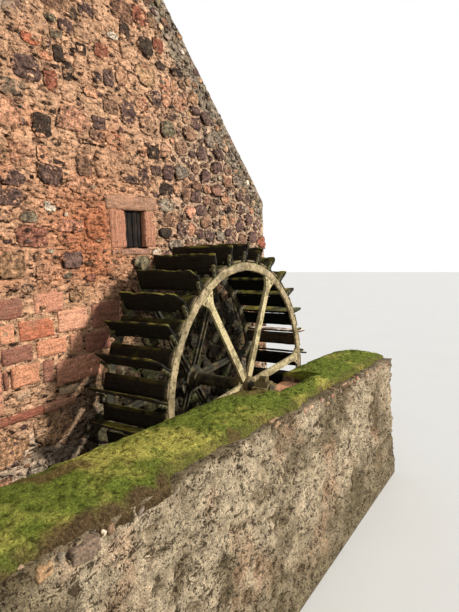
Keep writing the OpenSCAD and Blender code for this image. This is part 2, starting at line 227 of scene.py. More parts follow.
class Finish:
    """A material built from procedural layers on the piece's own coordinates."""

    def __init__(self, name, rough_low=0.75, rough_high=0.95, specular=0.3):
        self.material = bpy.data.materials.new(name)
        self.material.use_nodes = True
        self.tree = self.material.node_tree
        self.tree.nodes.clear()
        self.place = self.node("ShaderNodeTexCoord").outputs["Object"]
        self.shader = self.node("ShaderNodeBsdfPrincipled", {"Specular IOR Level": specular})
        self.rough = (rough_low, rough_high)
        self.feed(self.node("ShaderNodeOutputMaterial").inputs["Surface"], self.shader.outputs[0])

    def node(self, kind, inputs=None, **settings):
        """Adds a node, writes its settings, and feeds its inputs, which are given by name or number."""
        made = self.tree.nodes.new(kind)
        for key, value in settings.items():
            setattr(made, key, value)
        for key, value in (inputs or {}).items():
            self.feed(made.inputs[key], value)
        return made

    def feed(self, socket, value):
        """Links an output to a socket, or writes a plain value on it."""
        if isinstance(value, bpy.types.NodeSocket):
            self.tree.links.new(value, socket)
        elif hasattr(value, "__len__") and len(value) == 3 and len(socket.default_value) == 4:
            socket.default_value = (*value, 1)
        else:
            socket.default_value = value

    def spread(self, stretch):
        """The piece's coordinates, squeezed along some axes, which draws the pattern out along them."""
        if stretch is None:
            return self.place
        return self.node("ShaderNodeMapping", {"Vector": self.place, "Scale": stretch}).outputs[0]

    def noise(self, scale, detail=4.0, stretch=None, roughness=0.6, distortion=0.0):
        """Soft noise from 0 to 1, with about as many lumps in a metre as the scale says."""
        inputs = {"Vector": self.spread(stretch), "Scale": scale, "Detail": detail, "Roughness": roughness,
                  "Distortion": distortion}
        return self.node("ShaderNodeTexNoise", inputs).outputs[0]

    def cells(self, scale, feature="F1", stretch=None):
        """Distance to the middle of the nearest random cell, or to its edge where the feature says so."""
        inputs = {"Vector": self.spread(stretch), "Scale": scale}
        return self.node("ShaderNodeTexVoronoi", inputs, feature=feature).outputs["Distance"]

    def mark(self, name, colour=True):
        """A mark that the piece carries at its points: a colour, or else a single number."""
        return self.node("ShaderNodeAttribute", attribute_name=name).outputs["Color" if colour else "Fac"]

    def slope(self, value, low, high, to_low=0.0, to_high=1.0):
        """Smooth rise of a value from low to high, written between to_low and to_high."""
        inputs = {"Value": value, "From Min": low, "From Max": high, "To Min": to_low, "To Max": to_high}
        return self.node("ShaderNodeMapRange", inputs, interpolation_type="SMOOTHSTEP").outputs[0]

    def sum(self, a, b, operation="ADD"):
        """The sum of two values, or what another operation of arithmetic makes of them."""
        return self.node("ShaderNodeMath", {0: a, 1: b}, operation=operation).outputs[0]

    def times(self, a, b):
        """The product of two values."""
        return self.sum(a, b, "MULTIPLY")

    def swing(self, value, height):
        """A value from 0 to 1 made to swing about nought."""
        return self.times(self.sum(value, 0.5, "SUBTRACT"), height)

    def lerp(self, a, b, factor):
        """Colour a where the factor is 0, colour b where it is 1, and a mixture between."""
        return self.node("ShaderNodeMix", {"Factor": factor, 6: a, 7: b}, data_type="RGBA").outputs[2]

    def shade(self, colour, value, low, high, dark=0.7, light=1.2):
        """The colour made darker where the value is low and lighter where it is high."""
        inputs = {0: colour, "Scale": self.slope(value, low, high, dark, light)}
        return self.node("ShaderNodeVectorMath", inputs, operation="SCALE").outputs[0]

    def done(self, colour, height=None, depth=0.0):
        """Puts the layers on the shader: colour, fine relief of a real depth, and roughness."""
        self.feed(self.shader.inputs["Base Color"], colour)
        if height is not None:
            bump = self.node("ShaderNodeBump", {"Strength": 1.0, "Distance": depth, "Height": height})
            self.feed(self.shader.inputs["Normal"], bump.outputs[0])
        self.feed(self.shader.inputs["Roughness"], self.slope(self.noise(8.0), 0.3, 0.7, *self.rough))
        return self.material


print("steps of a finish:", ", ".join(name for name in vars(Finish) if name[0] != "_"))

# %% [markdown]
# The masonry finish serves stones and lime alike. A stone's own tint shows at its middle, and near its rim
# smears of lime lap over it in ragged patches, because the joints were filled flush and have weathered
# back. The same patches run on across the lime, so no stone looks cut out and stuck on.

# %% Masonry, dressed stone and lime
# Painted shade: the dark colour that stands in for the shadow deep in cracks, crevices and gaps.
CREVICE_SHADE = ink(36, 20, 11)  # what shows in a deep crevice


def masonry():
    """Stone and lime in one: the stone's tint, lime smeared over its rim, cracks and rough ledges, with
    painted shade in the cracks, on the low ledges and round the stones' rims.
    """
    f = Finish("lime_rubble", specular=0.12)
    patches = f.noise(4.0, 6.0, roughness=0.65)
    grit = f.noise(48.0, 4.0, roughness=0.75)
    ledges = f.noise(8.0, 5.0, stretch=(1, 1, 2.4), roughness=0.68, distortion=0.4)
    broken = f.cells(15.0, stretch=(1, 1, 1.5))
    stone = f.shade(f.mark("tint"), f.noise(16.0, 5.0, roughness=0.7), 0.34, 0.66, 0.35, 1.65)
    stone = f.shade(stone, grit, 0.35, 0.68, 0.5, 1.5)
    lime = f.shade(f.mark("lime"), patches, 0.32, 0.68, 0.72, 1.15)
    lime = f.shade(lime, ledges, 0.38, 0.62, 0.62, 1.34)
    lime = f.shade(lime, grit, 0.34, 0.68, 0.70, 1.28)
    smear = f.swing(f.noise(13.0, 6.0, roughness=0.8, distortion=0.5), 1.9)
    rim = f.mark("rim", False)
    colour = f.lerp(stone, lime, f.slope(f.sum(f.times(rim, 0.30), smear), 0.14, 0.22))
    # Painted shade in the cracks and on the low parts of the ledges.
    cracks = f.slope(f.noise(26.0, 3.0), 0.34, 0.41, 0.9, 0.0)
    cracks = f.sum(f.slope(ledges, 0.39, 0.44, 0.95, 0.0), cracks, "MAXIMUM")
    colour = f.lerp(colour, CREVICE_SHADE, f.times(cracks, f.slope(rim, -0.3, 0.1)))
    # Painted shadow: the rims of stones are darkened, most at their lower left.
    gap = f.sum(f.mark("edge", False), f.swing(f.noise(15.0, 5.0, roughness=0.7), 3.0))
    colour = f.lerp(colour, CREVICE_SHADE, f.slope(gap, 0.52, 0.86, 0.0, 0.94))
    height = f.sum(f.times(ledges, 1.3), f.sum(f.times(grit, 0.35), f.times(broken, 0.5)))
    return f.done(colour, f.times(height, f.slope(rim, -0.35, 0.1, 0.3, 1.0)), 0.045)


def lime_coat():
    """Rough lime thrown on by hand: a sandy ground with small pits, hollows and a few long cracks, all
    darkened as painted shade.
    """
    f = Finish("pitted_lime", specular=0.12)
    lumps = f.noise(9.0, 6.0, roughness=0.7)
    pits = f.sum(f.noise(30.0, 3.0, roughness=0.75), f.times(f.noise(2.6, 4.0), 0.3))
    hollows = f.noise(7.0, 6.0, stretch=(1, 1, 1.8), roughness=0.75, distortion=0.6)
    sand = f.noise(85.0, 4.0, roughness=0.8)
    middle = f.sum(f.noise(2.6, 6.0, stretch=(1, 1, 1.7), roughness=0.6), 0.5, "SUBTRACT")
    seam = f.slope(f.sum(middle, 0.0, "ABSOLUTE"), 0.001, 0.006, 0.9, 0.0)
    seam = f.times(seam, f.slope(f.noise(1.7), 0.50, 0.56))
    colour = f.shade(f.mark("lime"), lumps, 0.38, 0.62, 0.68, 1.14)
    colour = f.shade(colour, sand, 0.36, 0.66, 0.50, 1.45)
    # Painted shade in the pits, the hollows and the long cracks.
    colour = f.lerp(colour, ink(52, 40, 26), f.slope(pits, 0.545, 0.595, 0.92, 0.0))
    colour = f.lerp(colour, ink(66, 52, 34), f.slope(hollows, 0.41, 0.45, 0.88, 0.0))
    colour = f.lerp(colour, CREVICE_SHADE, seam)
    height = f.sum(f.sum(f.times(lumps, 1.2), hollows), f.sum(f.times(pits, 0.6), f.times(sand, 0.25)))
    return f.done(colour, height, 0.045)


def dressed_stone(name, scale, stretch):
    """Sandstone whose beds, or the marks of the mason's chisel, are noise drawn out along one way."""
    f = Finish(name)
    beds = f.noise(scale, 5.0, stretch=stretch, roughness=0.65)
    grit = f.noise(60.0, 4.0, roughness=0.7)
    stain = f.noise(3.5, 5.0)
    colour = f.shade(f.mark("tint"), beds, 0.35, 0.66, 0.74, 1.2)
    colour = f.lerp(colour, ink(158, 128, 104), f.slope(stain, 0.52, 0.7, 0, 0.4))
    colour = f.shade(colour, grit, 0.34, 0.68, 0.58, 1.36)
    colour = f.shade(colour, f.noise(24.0, 4.0, roughness=0.7), 0.36, 0.43, 0.45, 1.0)
    return f.done(colour, f.sum(beds, f.times(grit, 0.5)), 0.014)


rubble_finish = masonry()
coat_finish = lime_coat()
sandstone_finish = dressed_stone("worn_sandstone", 7.0, (1, 1, 5))
tooled_finish = dressed_stone("tooled_sandstone", 42.0, (1, 1, 0.07))
print("finishes:", rubble_finish.name, sandstone_finish.name)

# %% [markdown]
# A wall is a flat face with two directions, along and up, and a way out. Stones and lime are laid out on
# that face first and lifted from it afterwards, so the same functions dress all four walls. Old walls are
# never true, so the whole face swells by a few centimetres over a metre or so.

# %% The faces of the four walls
Wall = namedtuple("Wall", "name axis plane sign low high head holes seed")
EAVES_DROP = 0.24  # the head of a side wall lies this far under the line of the gables' edges
SWELL = 0.016  # how far the face of a wall wanders from its plane
FILM = 0.004  # least height of the dress over the face
EMBED = 0.012  # how deep the shells reach behind the face of the frame


def gable_head(u):
    """Height of a gable's edge over a place along it: down both ways from the ridge."""
    return ridge_z - np.abs(np.asarray(u, float) - ridge_x) * slope


def side_head(u):
    """Head of a side wall: under the eaves between the gables, and at the gables' corners at both ends."""
    between = (np.asarray(u, float) > room_y) & (np.asarray(u, float) < far_y)
    return np.where(between, gable_head(left_x) - EAVES_DROP / slope_cos, gable_head(left_x))


def beyond(box, u, z):
    """How far places lie outside a box of left, foot, right and top, by the larger of the two ways."""
    u0, z0, u1, z1 = box
    return np.maximum(np.maximum(u0 - u, u - u1), np.maximum(z0 - z, z - z1))


def swell(wall, u, z):
    """Slow bulges of a wall's face, always outwards of the frame, and none by the stones of an opening."""
    points = np.stack(np.broadcast_arrays(u, wall.seed * 7.0, z), -1)
    height = SWELL * (0.5 + 0.5 * lattice_noise(points, 0.9, wall.seed))
    for hole in wall.holes:
        height = height * step(beyond(hole, u, z), 0.25, 0.55)
    return height + FILM


def on_wall(wall, u, z, out):
    """Points in the frame for places u along the wall and z up, out metres in front of its face."""
    u, z, across = np.broadcast_arrays(u, z, wall.plane + wall.sign * np.asarray(out, float))
    return np.stack([u, across, z] if wall.axis == 0 else [across, u, z], -1)


def wall_flips(wall):
    """True where along, up and out make a left hand, so that faces have to be turned over."""
    return (wall.axis == 0) == (wall.sign > 0)


door_low, door_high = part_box("door_leaf")
WINDOW_W, WINDOW_H = 0.36, 0.49
LINTEL_H, SILL_H = 0.19, 0.10


def window_at(u, z):
    """Left, foot, right and top of a window's opening."""
    return u, z, u + WINDOW_W, z + WINDOW_H


mid_y = (room_y + far_y) / 2
gable_window = window_at(-0.97, 4.14)
side_window = window_at(mid_y - WINDOW_W / 2, 3.25)
door_hole = (door_low.x, door_low.z, door_high.x, door_high.z)

WALLS = {
    "gable": Wall("gable", 0, face_y, -1, left_x, right_x, gable_head, [gable_window], 3),
    "back": Wall("back", 0, back_y, 1, left_x, right_x, gable_head, [door_hole], 5),
    "left": Wall("left", 1, left_x, -1, face_y, back_y, side_head, [side_window], 7),
    "right": Wall("right", 1, right_x, 1, face_y, back_y, side_head, [side_window], 9),
}

# The widths of a window's jambs, and how far its lintel and sill reach beyond the opening, left and right.
Window = namedtuple("Window", "wall hole jambs reaches sills")
WINDOWS = [
    Window(WALLS["gable"], gable_window, (0.28, 0.21), (0.33, 0.25), (0.28, 0.09)),
    Window(WALLS["left"], side_window, (0.23, 0.23), (0.23, 0.23), (0.09, 0.09)),
    Window(WALLS["right"], side_window, (0.23, 0.23), (0.23, 0.23), (0.09, 0.09)),
]


def surround(window):
    """Boxes of a window's dressed stones, as places along and up: lintel, left jamb, right jamb and sill."""
    left, low, right, high = window.hole
    return [
        (left - window.reaches[0], high, right + window.reaches[1], high + LINTEL_H),
        (left - window.jambs[0], low, left, high),
        (right, low, right + window.jambs[1], high),
        (left - window.sills[0], low - SILL_H, right + window.sills[1], low),
    ]


print({w.name: round(w.high - w.low, 2) for w in WALLS.values()})

# %% [markdown]
# The colours of the walls follow the photograph's areas. The lime of the wheel gable is a warm tan, orange
# round the window, paler to the right, grey along the weathered edge and at the foot, and dark and mossy
# where the wheel keeps it wet, a dark that is also painted shade behind the wheel and along its foot.
# Stones take their tint from a short list of local stones, each with its share in an area.

# %% Colours of lime and stones
TAN_LIME = ink(212, 165, 129)
PALE_LIME = ink(206, 172, 142)
ORANGE_LIME = ink(196, 116, 76)
GREY_LIME = ink(160, 143, 122)
WET_SHADED_LIME = ink(50, 48, 34)
MOSS = ink(60, 68, 28)
LIME_RUNS = ink(160, 150, 122)

STONES = {
    "tan": (178, 136, 102), "pink": (196, 142, 110), "brick": (154, 94, 72), "orange": (190, 115, 84),
    "purple": (105, 81, 72), "dark": (72, 58, 48), "brown": (138, 104, 82), "olive": (124, 108, 86),
    "buff": (190, 156, 124), "grey": (142, 126, 108), "plum": (152, 100, 80), "salmon": (216, 148, 112),
    "rose": (204, 142, 112), "light": (226, 166, 128), "chalk": (222, 202, 176), "jamb": (182, 126, 97),
    # The last tint is painted shadow, for thin dark strips laid under ledges.
    "lintel": (165, 122, 97), "crack": (38, 24, 16),
}
STONES = {name: ink(*values) for name, values in STONES.items()}
AREAS = {
    "upper": dict(tan=22, pink=17, brick=4, purple=17, dark=10, brown=17, olive=11, buff=2),
    "cobbles": dict(purple=32, dark=10, brown=26, pink=8, brick=1, tan=12, grey=11),
    "fiery": dict(orange=52, brick=30, tan=18),
    "squared": dict(pink=34, plum=20, orange=12, salmon=18, rose=16),
    "verge": dict(grey=38, olive=16, brown=12, tan=10, purple=6, dark=8, buff=6, chalk=4),
    "foot": dict(grey=36, olive=12, tan=16, buff=16, pink=8, brown=12),
}

# The wet of the wheel gable, which is also painted shade, is full up to the first distance from the axle and
# gone at the second. Above the race wall it lies a little to the right. The damp round it, partly painted
# shade, is held to the foot of the wall in the same way.
WET_SHADE_REACH, DAMP_SHADE_REACH, DAMP_SHADE_TOP = (1.35, 1.9), (2.0, 2.4), (2.6, 2.9)
WET_SHADE_SHIFT = 0.4
# Middle and half width of the orange oval round the window, along and up.
FIRE_U, FIRE_Z = (-1.55, 0.75), (4.35, 0.6)


def axle_distance(u, z):
    """Distance of a place on the wheel gable from the axle."""
    return np.hypot(np.asarray(u) - axle[0], np.asarray(z) - axle[2])


def under_head(wall, u, z):
    """Distance of a place from the wall's raking head, square to the slope."""
    return (wall.head(np.asarray(u, float)) - z) * slope_cos


def verge_width(u):
    """Width of the weathered strip under the rakes: the photograph has it along the right one."""
    return np.where(np.asarray(u) > ridge_x, 0.38, 0.14)


def wet_and_shade(wall, u, z):
    """How wet and dark the wheel gable is, the dark partly painted shade: full behind the wheel, and a little
    over half along its foot.
    """
    if wall.name != "gable":
        return np.zeros(np.broadcast(u, z).shape)
    points = np.stack(np.broadcast_arrays(u, 0.0, 0.4 * np.asarray(z)), -1)
    shift = WET_SHADE_SHIFT * step(z, 1.8, 3.0)
    uneven = 0.25 * rough(points, 0.22, 31)
    damp_shade = (1 - step(axle_distance(u, z) + uneven, *DAMP_SHADE_REACH)) * (1 - step(z + uneven, *DAMP_SHADE_TOP))
    return np.maximum(1 - step(axle_distance(u - shift, z) + uneven, *WET_SHADE_REACH), 0.6 * damp_shade)


def fire(wall, u, z):
    """Share of the orange area round the window, an oval on the wheel gable."""
    if wall.name != "gable":
        return np.zeros(np.broadcast(u, z).shape)
    return np.exp(-(((u - FIRE_U[0]) / FIRE_U[1]) ** 2) - ((z - FIRE_Z[0]) / FIRE_Z[1]) ** 2)


def lime_colour(wall, u, z):
    """Colour of the lime at places on a wall, from the areas and slow noise."""
    u, z = np.broadcast_arrays(u, z)
    points = np.stack(np.broadcast_arrays(u, wall.seed * 1.0, z), -1)
    paler = step(u + 0.3 * rough(points, 0.6, 41), -0.7, 0.6) if wall.axis == 0 else 0.5 + 0 * u
    colour = mixed(TAN_LIME, PALE_LIME, paler)
    patch = step(rough(points, 0.55, 43), 0.25, 0.85)
    colour = mixed(colour, ORANGE_LIME, np.clip(0.30 * patch + 0.8 * fire(wall, u, z), 0, 1))
    if wall.axis == 0:
        below = under_head(wall, u, z) + 0.08 * rough(points, 0.25, 47) - verge_width(u)
        colour = mixed(colour, GREY_LIME, 0.95 * (1 - step(below, -0.08, 0.08)))
    foot = 1 - step(z + 0.25 * rough(points, 0.5, 53), 1.9, 2.5)
    colour = mixed(colour, GREY_LIME * 1.9, 0.8 * foot)
    # Wet and painted shade behind the wheel and along its foot: the lime goes dark and mossy.
    wet = wet_and_shade(wall, u, z)
    colour = mixed(colour, WET_SHADED_LIME, 0.92 * wet)
    colour = mixed(colour, MOSS, 0.7 * step(rough(points, 0.3, 59), 0.0, 0.6) * wet)
    runs = step(rough(points * (1, 1, 0.25), 0.09, 60), 0.45, 0.8) * wet
    return mixed(colour, LIME_RUNS, 0.75 * runs)


def pick_tints(wall, u, z, area, rng):
    """A tint for each stone: drawn from its area's list, with its own lightness, darkened where it is wet and
    in painted shade.
    """
    tints = np.zeros((len(u), 3))
    for name, shares in AREAS.items():
        here = np.flatnonzero(area == name)
        odds = np.array(list(shares.values()), float)
        drawn = rng.choice(len(odds), len(here), p=odds / odds.sum())
        tints[here] = np.array([STONES[k] for k in shares])[drawn]
    tints *= np.exp(rng.normal(0, 0.11, (len(u), 1))) * np.exp(rng.normal(0, 0.025, (len(u), 3)))
    # Wet and painted shade behind the wheel: the stones go dark and mossy.
    wet = wet_and_shade(wall, u, z)
    tints = mixed(tints, WET_SHADED_LIME * 0.8, 0.88 * wet)
    return mixed(tints, MOSS, 0.5 * wet * step(rng.random(len(u)), 0.6, 0.9))


print("areas:", ", ".join(AREAS))

# %% [markdown]
# Rubble could be copied from one stone, but then every joint would look the same. Here each stone is a
# rounded cell between its neighbours: places are scattered from large to small, and along each of a few
# directions a stone reaches to the line halfway to the nearest neighbour, less the joint. A soft minimum of
# those reaches rounds the corners. A low power gives cobbles and a high one gives squared blocks.

# %% Laying out stones
STRETCH = 1.35  # stones lie flat, so they are this much wider than high
JOINT = 0.016


def scatter(wall, radius_of, tries, keep_out, rng):
    """Places and radii of stones, tried at random from large to small, kept where they touch no kept one."""
    u = rng.uniform(wall.low, wall.high, tries)
    z = rng.uniform(0, float(wall.head(np.array(ridge_x if wall.axis == 0 else mid_y))), tries)
    size = np.repeat([1.4, 1.05, 0.75, 0.5], tries // 4)[:tries] * rng.uniform(0.85, 1.15, tries)
    radius = radius_of(u, z) * size
    good = (z < wall.head(u) - 0.02) & (z > 0.02)
    for box in keep_out:
        good &= beyond(box, u, z) > 0
    kept = np.zeros((0, 3))
    for place_u, place_z, r in zip(u[good] / STRETCH, z[good], radius[good]):
        gap = np.hypot(kept[:, 0] - place_u, kept[:, 1] - place_z) - kept[:, 2]
        if not len(kept) or gap.min() > r * 0.98:
            kept = np.vstack([kept, (place_u, place_z, r)])
    return kept[:, 0] * STRETCH, kept[:, 1], kept[:, 2]


def neighbour_planes(u, z, radius, near=14):
    """Lines between each stone and its nearest neighbours: directions and distances, in squeezed places."""
    place = np.stack([u / STRETCH, z], -1)
    apart = place[None] - place[:, None]
    gap = np.hypot(apart[..., 0], apart[..., 1])
    np.fill_diagonal(gap, 1e9)
    order = np.argsort(gap - radius[None], axis=1)[:, :near]
    far = np.take_along_axis(gap, order, 1)
    way = np.take_along_axis(apart, order[..., None], 1) / far[..., None]
    line = (far**2 + radius[:, None] ** 2 - radius[order] ** 2) / (2 * far)
    return way, np.clip(line, 0.2 * far, 0.8 * far)


def edge_planes(wall, u, z, keep_out):
    """Lines that stones don't cross: the wall's ends, its foot, its raking head and the boxes kept free."""
    ways = [[(-1, 0)], [(1, 0)], [(0, -1)]]
    reach = [u - wall.low, wall.high - u, z]
    if wall.axis == 0:
        ways += [[(-slope * slope_cos, slope_cos)], [(slope * slope_cos, slope_cos)]]
        for side in (-1, 1):
            reach.append((ridge_z - slope * side * (u - ridge_x) - z) * slope_cos)
    else:
        ways.append([(0, 1)])
        reach.append(wall.head(u) - z)
    ways = [np.broadcast_to(w, (len(u), 2)).copy() for w in ways]
    for u0, z0, u1, z1 in keep_out:
        beside, above = np.maximum(u0 - u, u - u1), np.maximum(z0 - z, z - z1)
        level = beside > above
        way = np.where(level[:, None], np.stack([np.sign(u0 + u1 - 2 * u), 0 * u], -1),
                       np.stack([0 * u, np.sign(z0 + z1 - 2 * z)], -1))
        ways.append(way)
        reach.append(np.where(level, beside, above))
    way = np.stack(ways, 1) * np.array([STRETCH, 1.0])
    return way, np.stack(reach, 1)


def outlines(way, reach, power, sides):
    """Reach of a cell in each direction: the soft minimum of its reaches to all of its lines."""
    angle = 2 * np.pi * np.arange(sides) / sides
    toward = np.einsum("skc,nc->skn", way, np.stack([np.cos(angle), np.sin(angle)], -1))
    t = np.where(toward > 0.02, np.maximum(reach, 0.004)[..., None] / np.maximum(toward, 0.02), 1e3)
    return (t ** -power[:, None, None]).sum(1) ** (-1 / power[:, None])


print("joint", JOINT, "stretch", STRETCH)

# %% [markdown]
# Each outline becomes a closed stone of three rings and a crown. The outer ring lies behind the face of the
# lime, the next ring rises out of it, and the inner ring and the crown carry the stone's own tilt. A dozen
# sides keep a stone to a few dozen faces.

# %% Stones of a wall
# Of each ring of a stone: how far it is drawn in, its lift, its rim mark and its edge mark, the weight of its
# painted shadow.
COBBLE = ((1.0, 0.95, 0.72), (0.0, 0.62, 1.0), (1.0, 0.8, 0.1), (1.0, 1.0, 0.0))
BLOCK = ((1.0, 0.96, 0.80), (0.0, 0.7, 1.0), (0.8, 0.5, 0.0), (1.0, 1.0, 0.0))
CHIP = ((1.0, 0.72), (0.0, 1.0), (0.6, 0.3), (0.8, 0.2))


def set_stones(form, wall, u, z, radii, lift, tints, rng, shape=COBBLE, stretch=STRETCH, ragged=0.05,
               buried=0.0):
    """Adds stones to a form: each ring is the outline drawn in, lifted by its share of the stone's height.

    Buried raises a stone's rim marks, so that smears of lime cover more of it. The edge mark is strongest at
    The edge mark is painted shadow, strongest at the lower left, away from the sun, where the photograph
    shows dark gaps.
    """
    count, sides = radii.shape
    rings, lifts, marks, edges = (np.array(a) for a in shape)
    angle = 2 * np.pi * np.arange(sides) / sides
    radii = radii * (1 + ragged * rng.normal(size=radii.shape))
    along = u[:, None, None] + rings[None, :, None] * (radii * np.cos(angle) * stretch)[:, None]
    up = z[:, None, None] + rings[None, :, None] * (radii * np.sin(angle))[:, None]
    tilt = rng.normal(0, 0.22, (count, 2, 1, 1))
    tip = tilt[:, 0] * (along - u[:, None, None]) / 0.15 + tilt[:, 1] * (up - z[:, None, None]) / 0.15
    noise = 0.5 * lattice_noise(np.stack(np.broadcast_arrays(along, 4.0, up), -1), 0.06, wall.seed)
    rise = lift[:, None, None] * lifts[:, None] * (1 + np.clip(tip, -0.5, 0.5) + noise)
    out = swell(wall, along, up) + rise
    out[:, 0] = -EMBED
    ring_points = on_wall(wall, along, up, out)
    crown = on_wall(wall, u, z, swell(wall, u, z) + 1.1 * lift)[:, None]
    heart = on_wall(wall, u, z, -EMBED)[:, None]
    points = np.concatenate([ring_points.reshape(count, -1, 3), crown, heart], 1)
    first = np.arange(sides)
    last = len(rings) * sides
    quads = sheet_quads(len(rings), sides, close_columns=True)
    tris = np.concatenate([fan(first + last - sides, last), fan(first, last + 1)[:, ::-1]])
    buried = np.broadcast_to(buried, count)[:, None]
    rim = buried + np.concatenate([np.repeat(marks, sides), [0.0, 1.0]])
    # Painted shadow: the edge mark is weighted to the lower left, the side away from the sun.
    shadow_side = 0.45 + 0.45 * np.cos(angle - math.radians(215))
    edge = np.concatenate([(edges[:, None] * shadow_side).ravel(), [0.0, 0.0]]) * (1 - 0.6 * step(buried, 0.0, 1.0))
    form.add(points, quads, tris, copies=count, tint=np.repeat(tints, rim.shape[1], 0),
             rim=rim.reshape(-1, 1), edge=edge.reshape(-1, 1),
             lime=lime_colour(wall, points[..., wall.axis].ravel(), points[..., 2].ravel()))


def rubble(wall, radius_of, area_of, lift_of, tries, sides, keep_out, extra=()):
    """The stones of one wall: scattered rubble round the blocks that are given with their own sizes."""
    rng = np.random.default_rng(wall.seed)
    form = Form()
    boxes = list(keep_out) + [(u - a, z - b, u + a, z + b) for u, z, a, b, *_ in extra]
    u, z, radius = scatter(wall, radius_of, tries, boxes, rng)
    joint = rng.uniform(0.6, 1.6, len(u))[:, None] * JOINT / 2
    own_way, own_reach = edge_planes(wall, u, z, boxes)
    way, reach = neighbour_planes(u, z, radius)
    way, reach = np.concatenate([way, own_way], 1), np.concatenate([reach, own_reach], 1) - joint
    radii = outlines(way, reach, rng.uniform(7, 16, len(u)), sides)
    limit = (radius * rng.uniform(1.1, 1.6, len(u)))[:, None]
    radii = (radii**-8 + limit**-8) ** (-1 / 8)
    big = radii.min(1) > 0.018
    u, z, radii = u[big], z[big], radii[big]
    area = area_of(u, z, rng)
    buried = np.where(area == "upper", rng.uniform(-0.4, 1.2, len(u)), rng.uniform(-0.5, 0.2, len(u)))
    buried = np.where(area == "fiery", 0.9, buried)
    set_stones(form, wall, u, z, radii, lift_of(u, z, rng) * np.clip(radii.mean(1) / 0.08, 0.5, 1.3),
               pick_tints(wall, u, z, area, rng), rng, ragged=0.09, buried=buried)
    if extra:
        u, z, a, b, power, lift = (np.array(c) for c in list(zip(*extra))[:6])
        way = np.broadcast_to([(STRETCH, 0), (-STRETCH, 0), (0, 1.0), (0, -1.0)], (len(u), 4, 2))
        reach = np.stack([a, a, b, b], 1) - JOINT / 2
        tints = np.array([e[6] for e in extra]) * np.exp(rng.normal(0, 0.06, (len(u), 1)))
        # Wet and painted shade behind the wheel darken the blocks too.
        tints = mixed(tints, WET_SHADED_LIME, 0.7 * wet_and_shade(wall, u, z))
        radii = outlines(way, reach, power, sides + 4)
        set_stones(form, wall, u, z, radii, lift, tints, rng, BLOCK, ragged=0.06)
    print(wall.name, "stones:", len(area) + len(extra))
    return form


def chips(form, wall, count, keep_out, rng):
    """Small pinning stones and lumps of lime, thrown at random, flat and ragged, with only seven sides."""
    u = rng.uniform(wall.low + 0.05, wall.high - 0.05, count)
    z = rng.uniform(0.03, 1, count) * (wall.head(u) - 0.06)
    good = np.all([beyond(box, u, z) > 0.03 for box in keep_out], axis=0)
    u, z = u[good], z[good]
    radii = rng.uniform(0.014, 0.040, (len(u), 1)) * rng.uniform(0.65, 1.3, (len(u), 7))
    stony = rng.random(len(u)) < 0.35
    tints = pick_tints(wall, u, z, np.where(stony, "cobbles", "fiery"), rng)
    lumps = lime_colour(wall, u, z) * rng.uniform(0.75, 1.25, (len(u), 1))
    tints = np.where(stony[:, None], tints, lumps)
    set_stones(form, wall, u, z, radii, rng.uniform(0.008, 0.026, len(u)), tints, rng, CHIP, stretch=2.0)


print("rings of a cobble:", len(COBBLE[0]))

# %% [markdown]
# Lime fills the joints. It is a sheet over the whole wall, lifted by the same slow swell and roughened by
# noise, cut out at windows and the axle's hole, and closed behind. It lies a little lower than the stones,
# so each stone keeps a shadow at its edge.

# %% Lime of a wall
LIME_ROUGH = 0.007


def lime_sheet(wall, cell, round_hole=None):
    """A skin over a wall, closed afterwards by close_sheet: columns of points from the foot to the head,
    shared out evenly in each.
    """
    columns = int((wall.high - wall.low) / cell) + 1
    rows = int(float(np.max(wall.head(np.linspace(wall.low, wall.high, 9)))) / cell) + 1
    u = np.linspace(wall.low, wall.high, columns)[None]
    u, z = np.broadcast_arrays(u, wall.head(u) * np.linspace(0, 1, rows)[:, None])
    middle_u = (u[:-1, :-1] + u[1:, 1:]) / 2
    middle_z = (z[:-1, :-1] + z[1:, 1:] + z[:-1, 1:] + z[1:, :-1]) / 4
    open_cell = np.any([beyond(hole, middle_u, middle_z) < cell for hole in wall.holes], axis=0)
    if round_hole:
        hole_u, hole_z, hole_r = round_hole
        inside = np.hypot(middle_u - hole_u, middle_z - hole_z) < hole_r
        open_cell |= inside
        touched = np.zeros(u.shape, bool)
        for rows_cut, columns_cut in itertools.product((slice(None, -1), slice(1, None)), repeat=2):
            touched[rows_cut, columns_cut] |= inside
        far = np.maximum(np.hypot(u - hole_u, z - hole_z), 1e-6)
        u = np.where(touched, hole_u + (u - hole_u) * hole_r / far, u)
        z = np.where(touched, hole_z + (z - hole_z) * hole_r / far, z)
    points = np.stack(np.broadcast_arrays(u, wall.seed * 3.0, z), -1)
    out = swell(wall, u, z) + LIME_ROUGH * rough(points, 0.16, 61, 3)
    form = Form()
    colour = lime_colour(wall, u.ravel(), z.ravel())
    form.add(on_wall(wall, u, z, np.maximum(out, 0.002)), sheet_quads(rows, columns)[~open_cell.ravel()],
             rim=np.ones((u.size, 1)), tint=colour, lime=colour)
    return form.mesh(wall.name + "_lime", flip=wall_flips(wall))


def close_sheet(mesh, axis, level, clean=False):
    """Closes an open sheet: its edges are drawn along an axis to the level of each point, and filled across.

    With clean set, faces without area are taken out.
    """
    made = bmesh.new()
    made.from_mesh(mesh)
    bmesh.ops.delete(made, geom=[v for v in made.verts if not v.link_faces], context="VERTS")
    drawn = bmesh.ops.extrude_edge_only(made, edges=[e for e in made.edges if e.is_boundary])
    for v in (g for g in drawn["geom"] if isinstance(g, bmesh.types.BMVert)):
        v.co[axis] = level(v.co)
    bmesh.ops.triangle_fill(made, edges=[e for e in made.edges if e.is_boundary], use_beauty=False)
    if clean:
        bmesh.ops.dissolve_degenerate(made, edges=made.edges, dist=1e-5)
    bmesh.ops.recalc_face_normals(made, faces=made.faces)
    made.to_mesh(mesh)
    made.free()
    return mesh


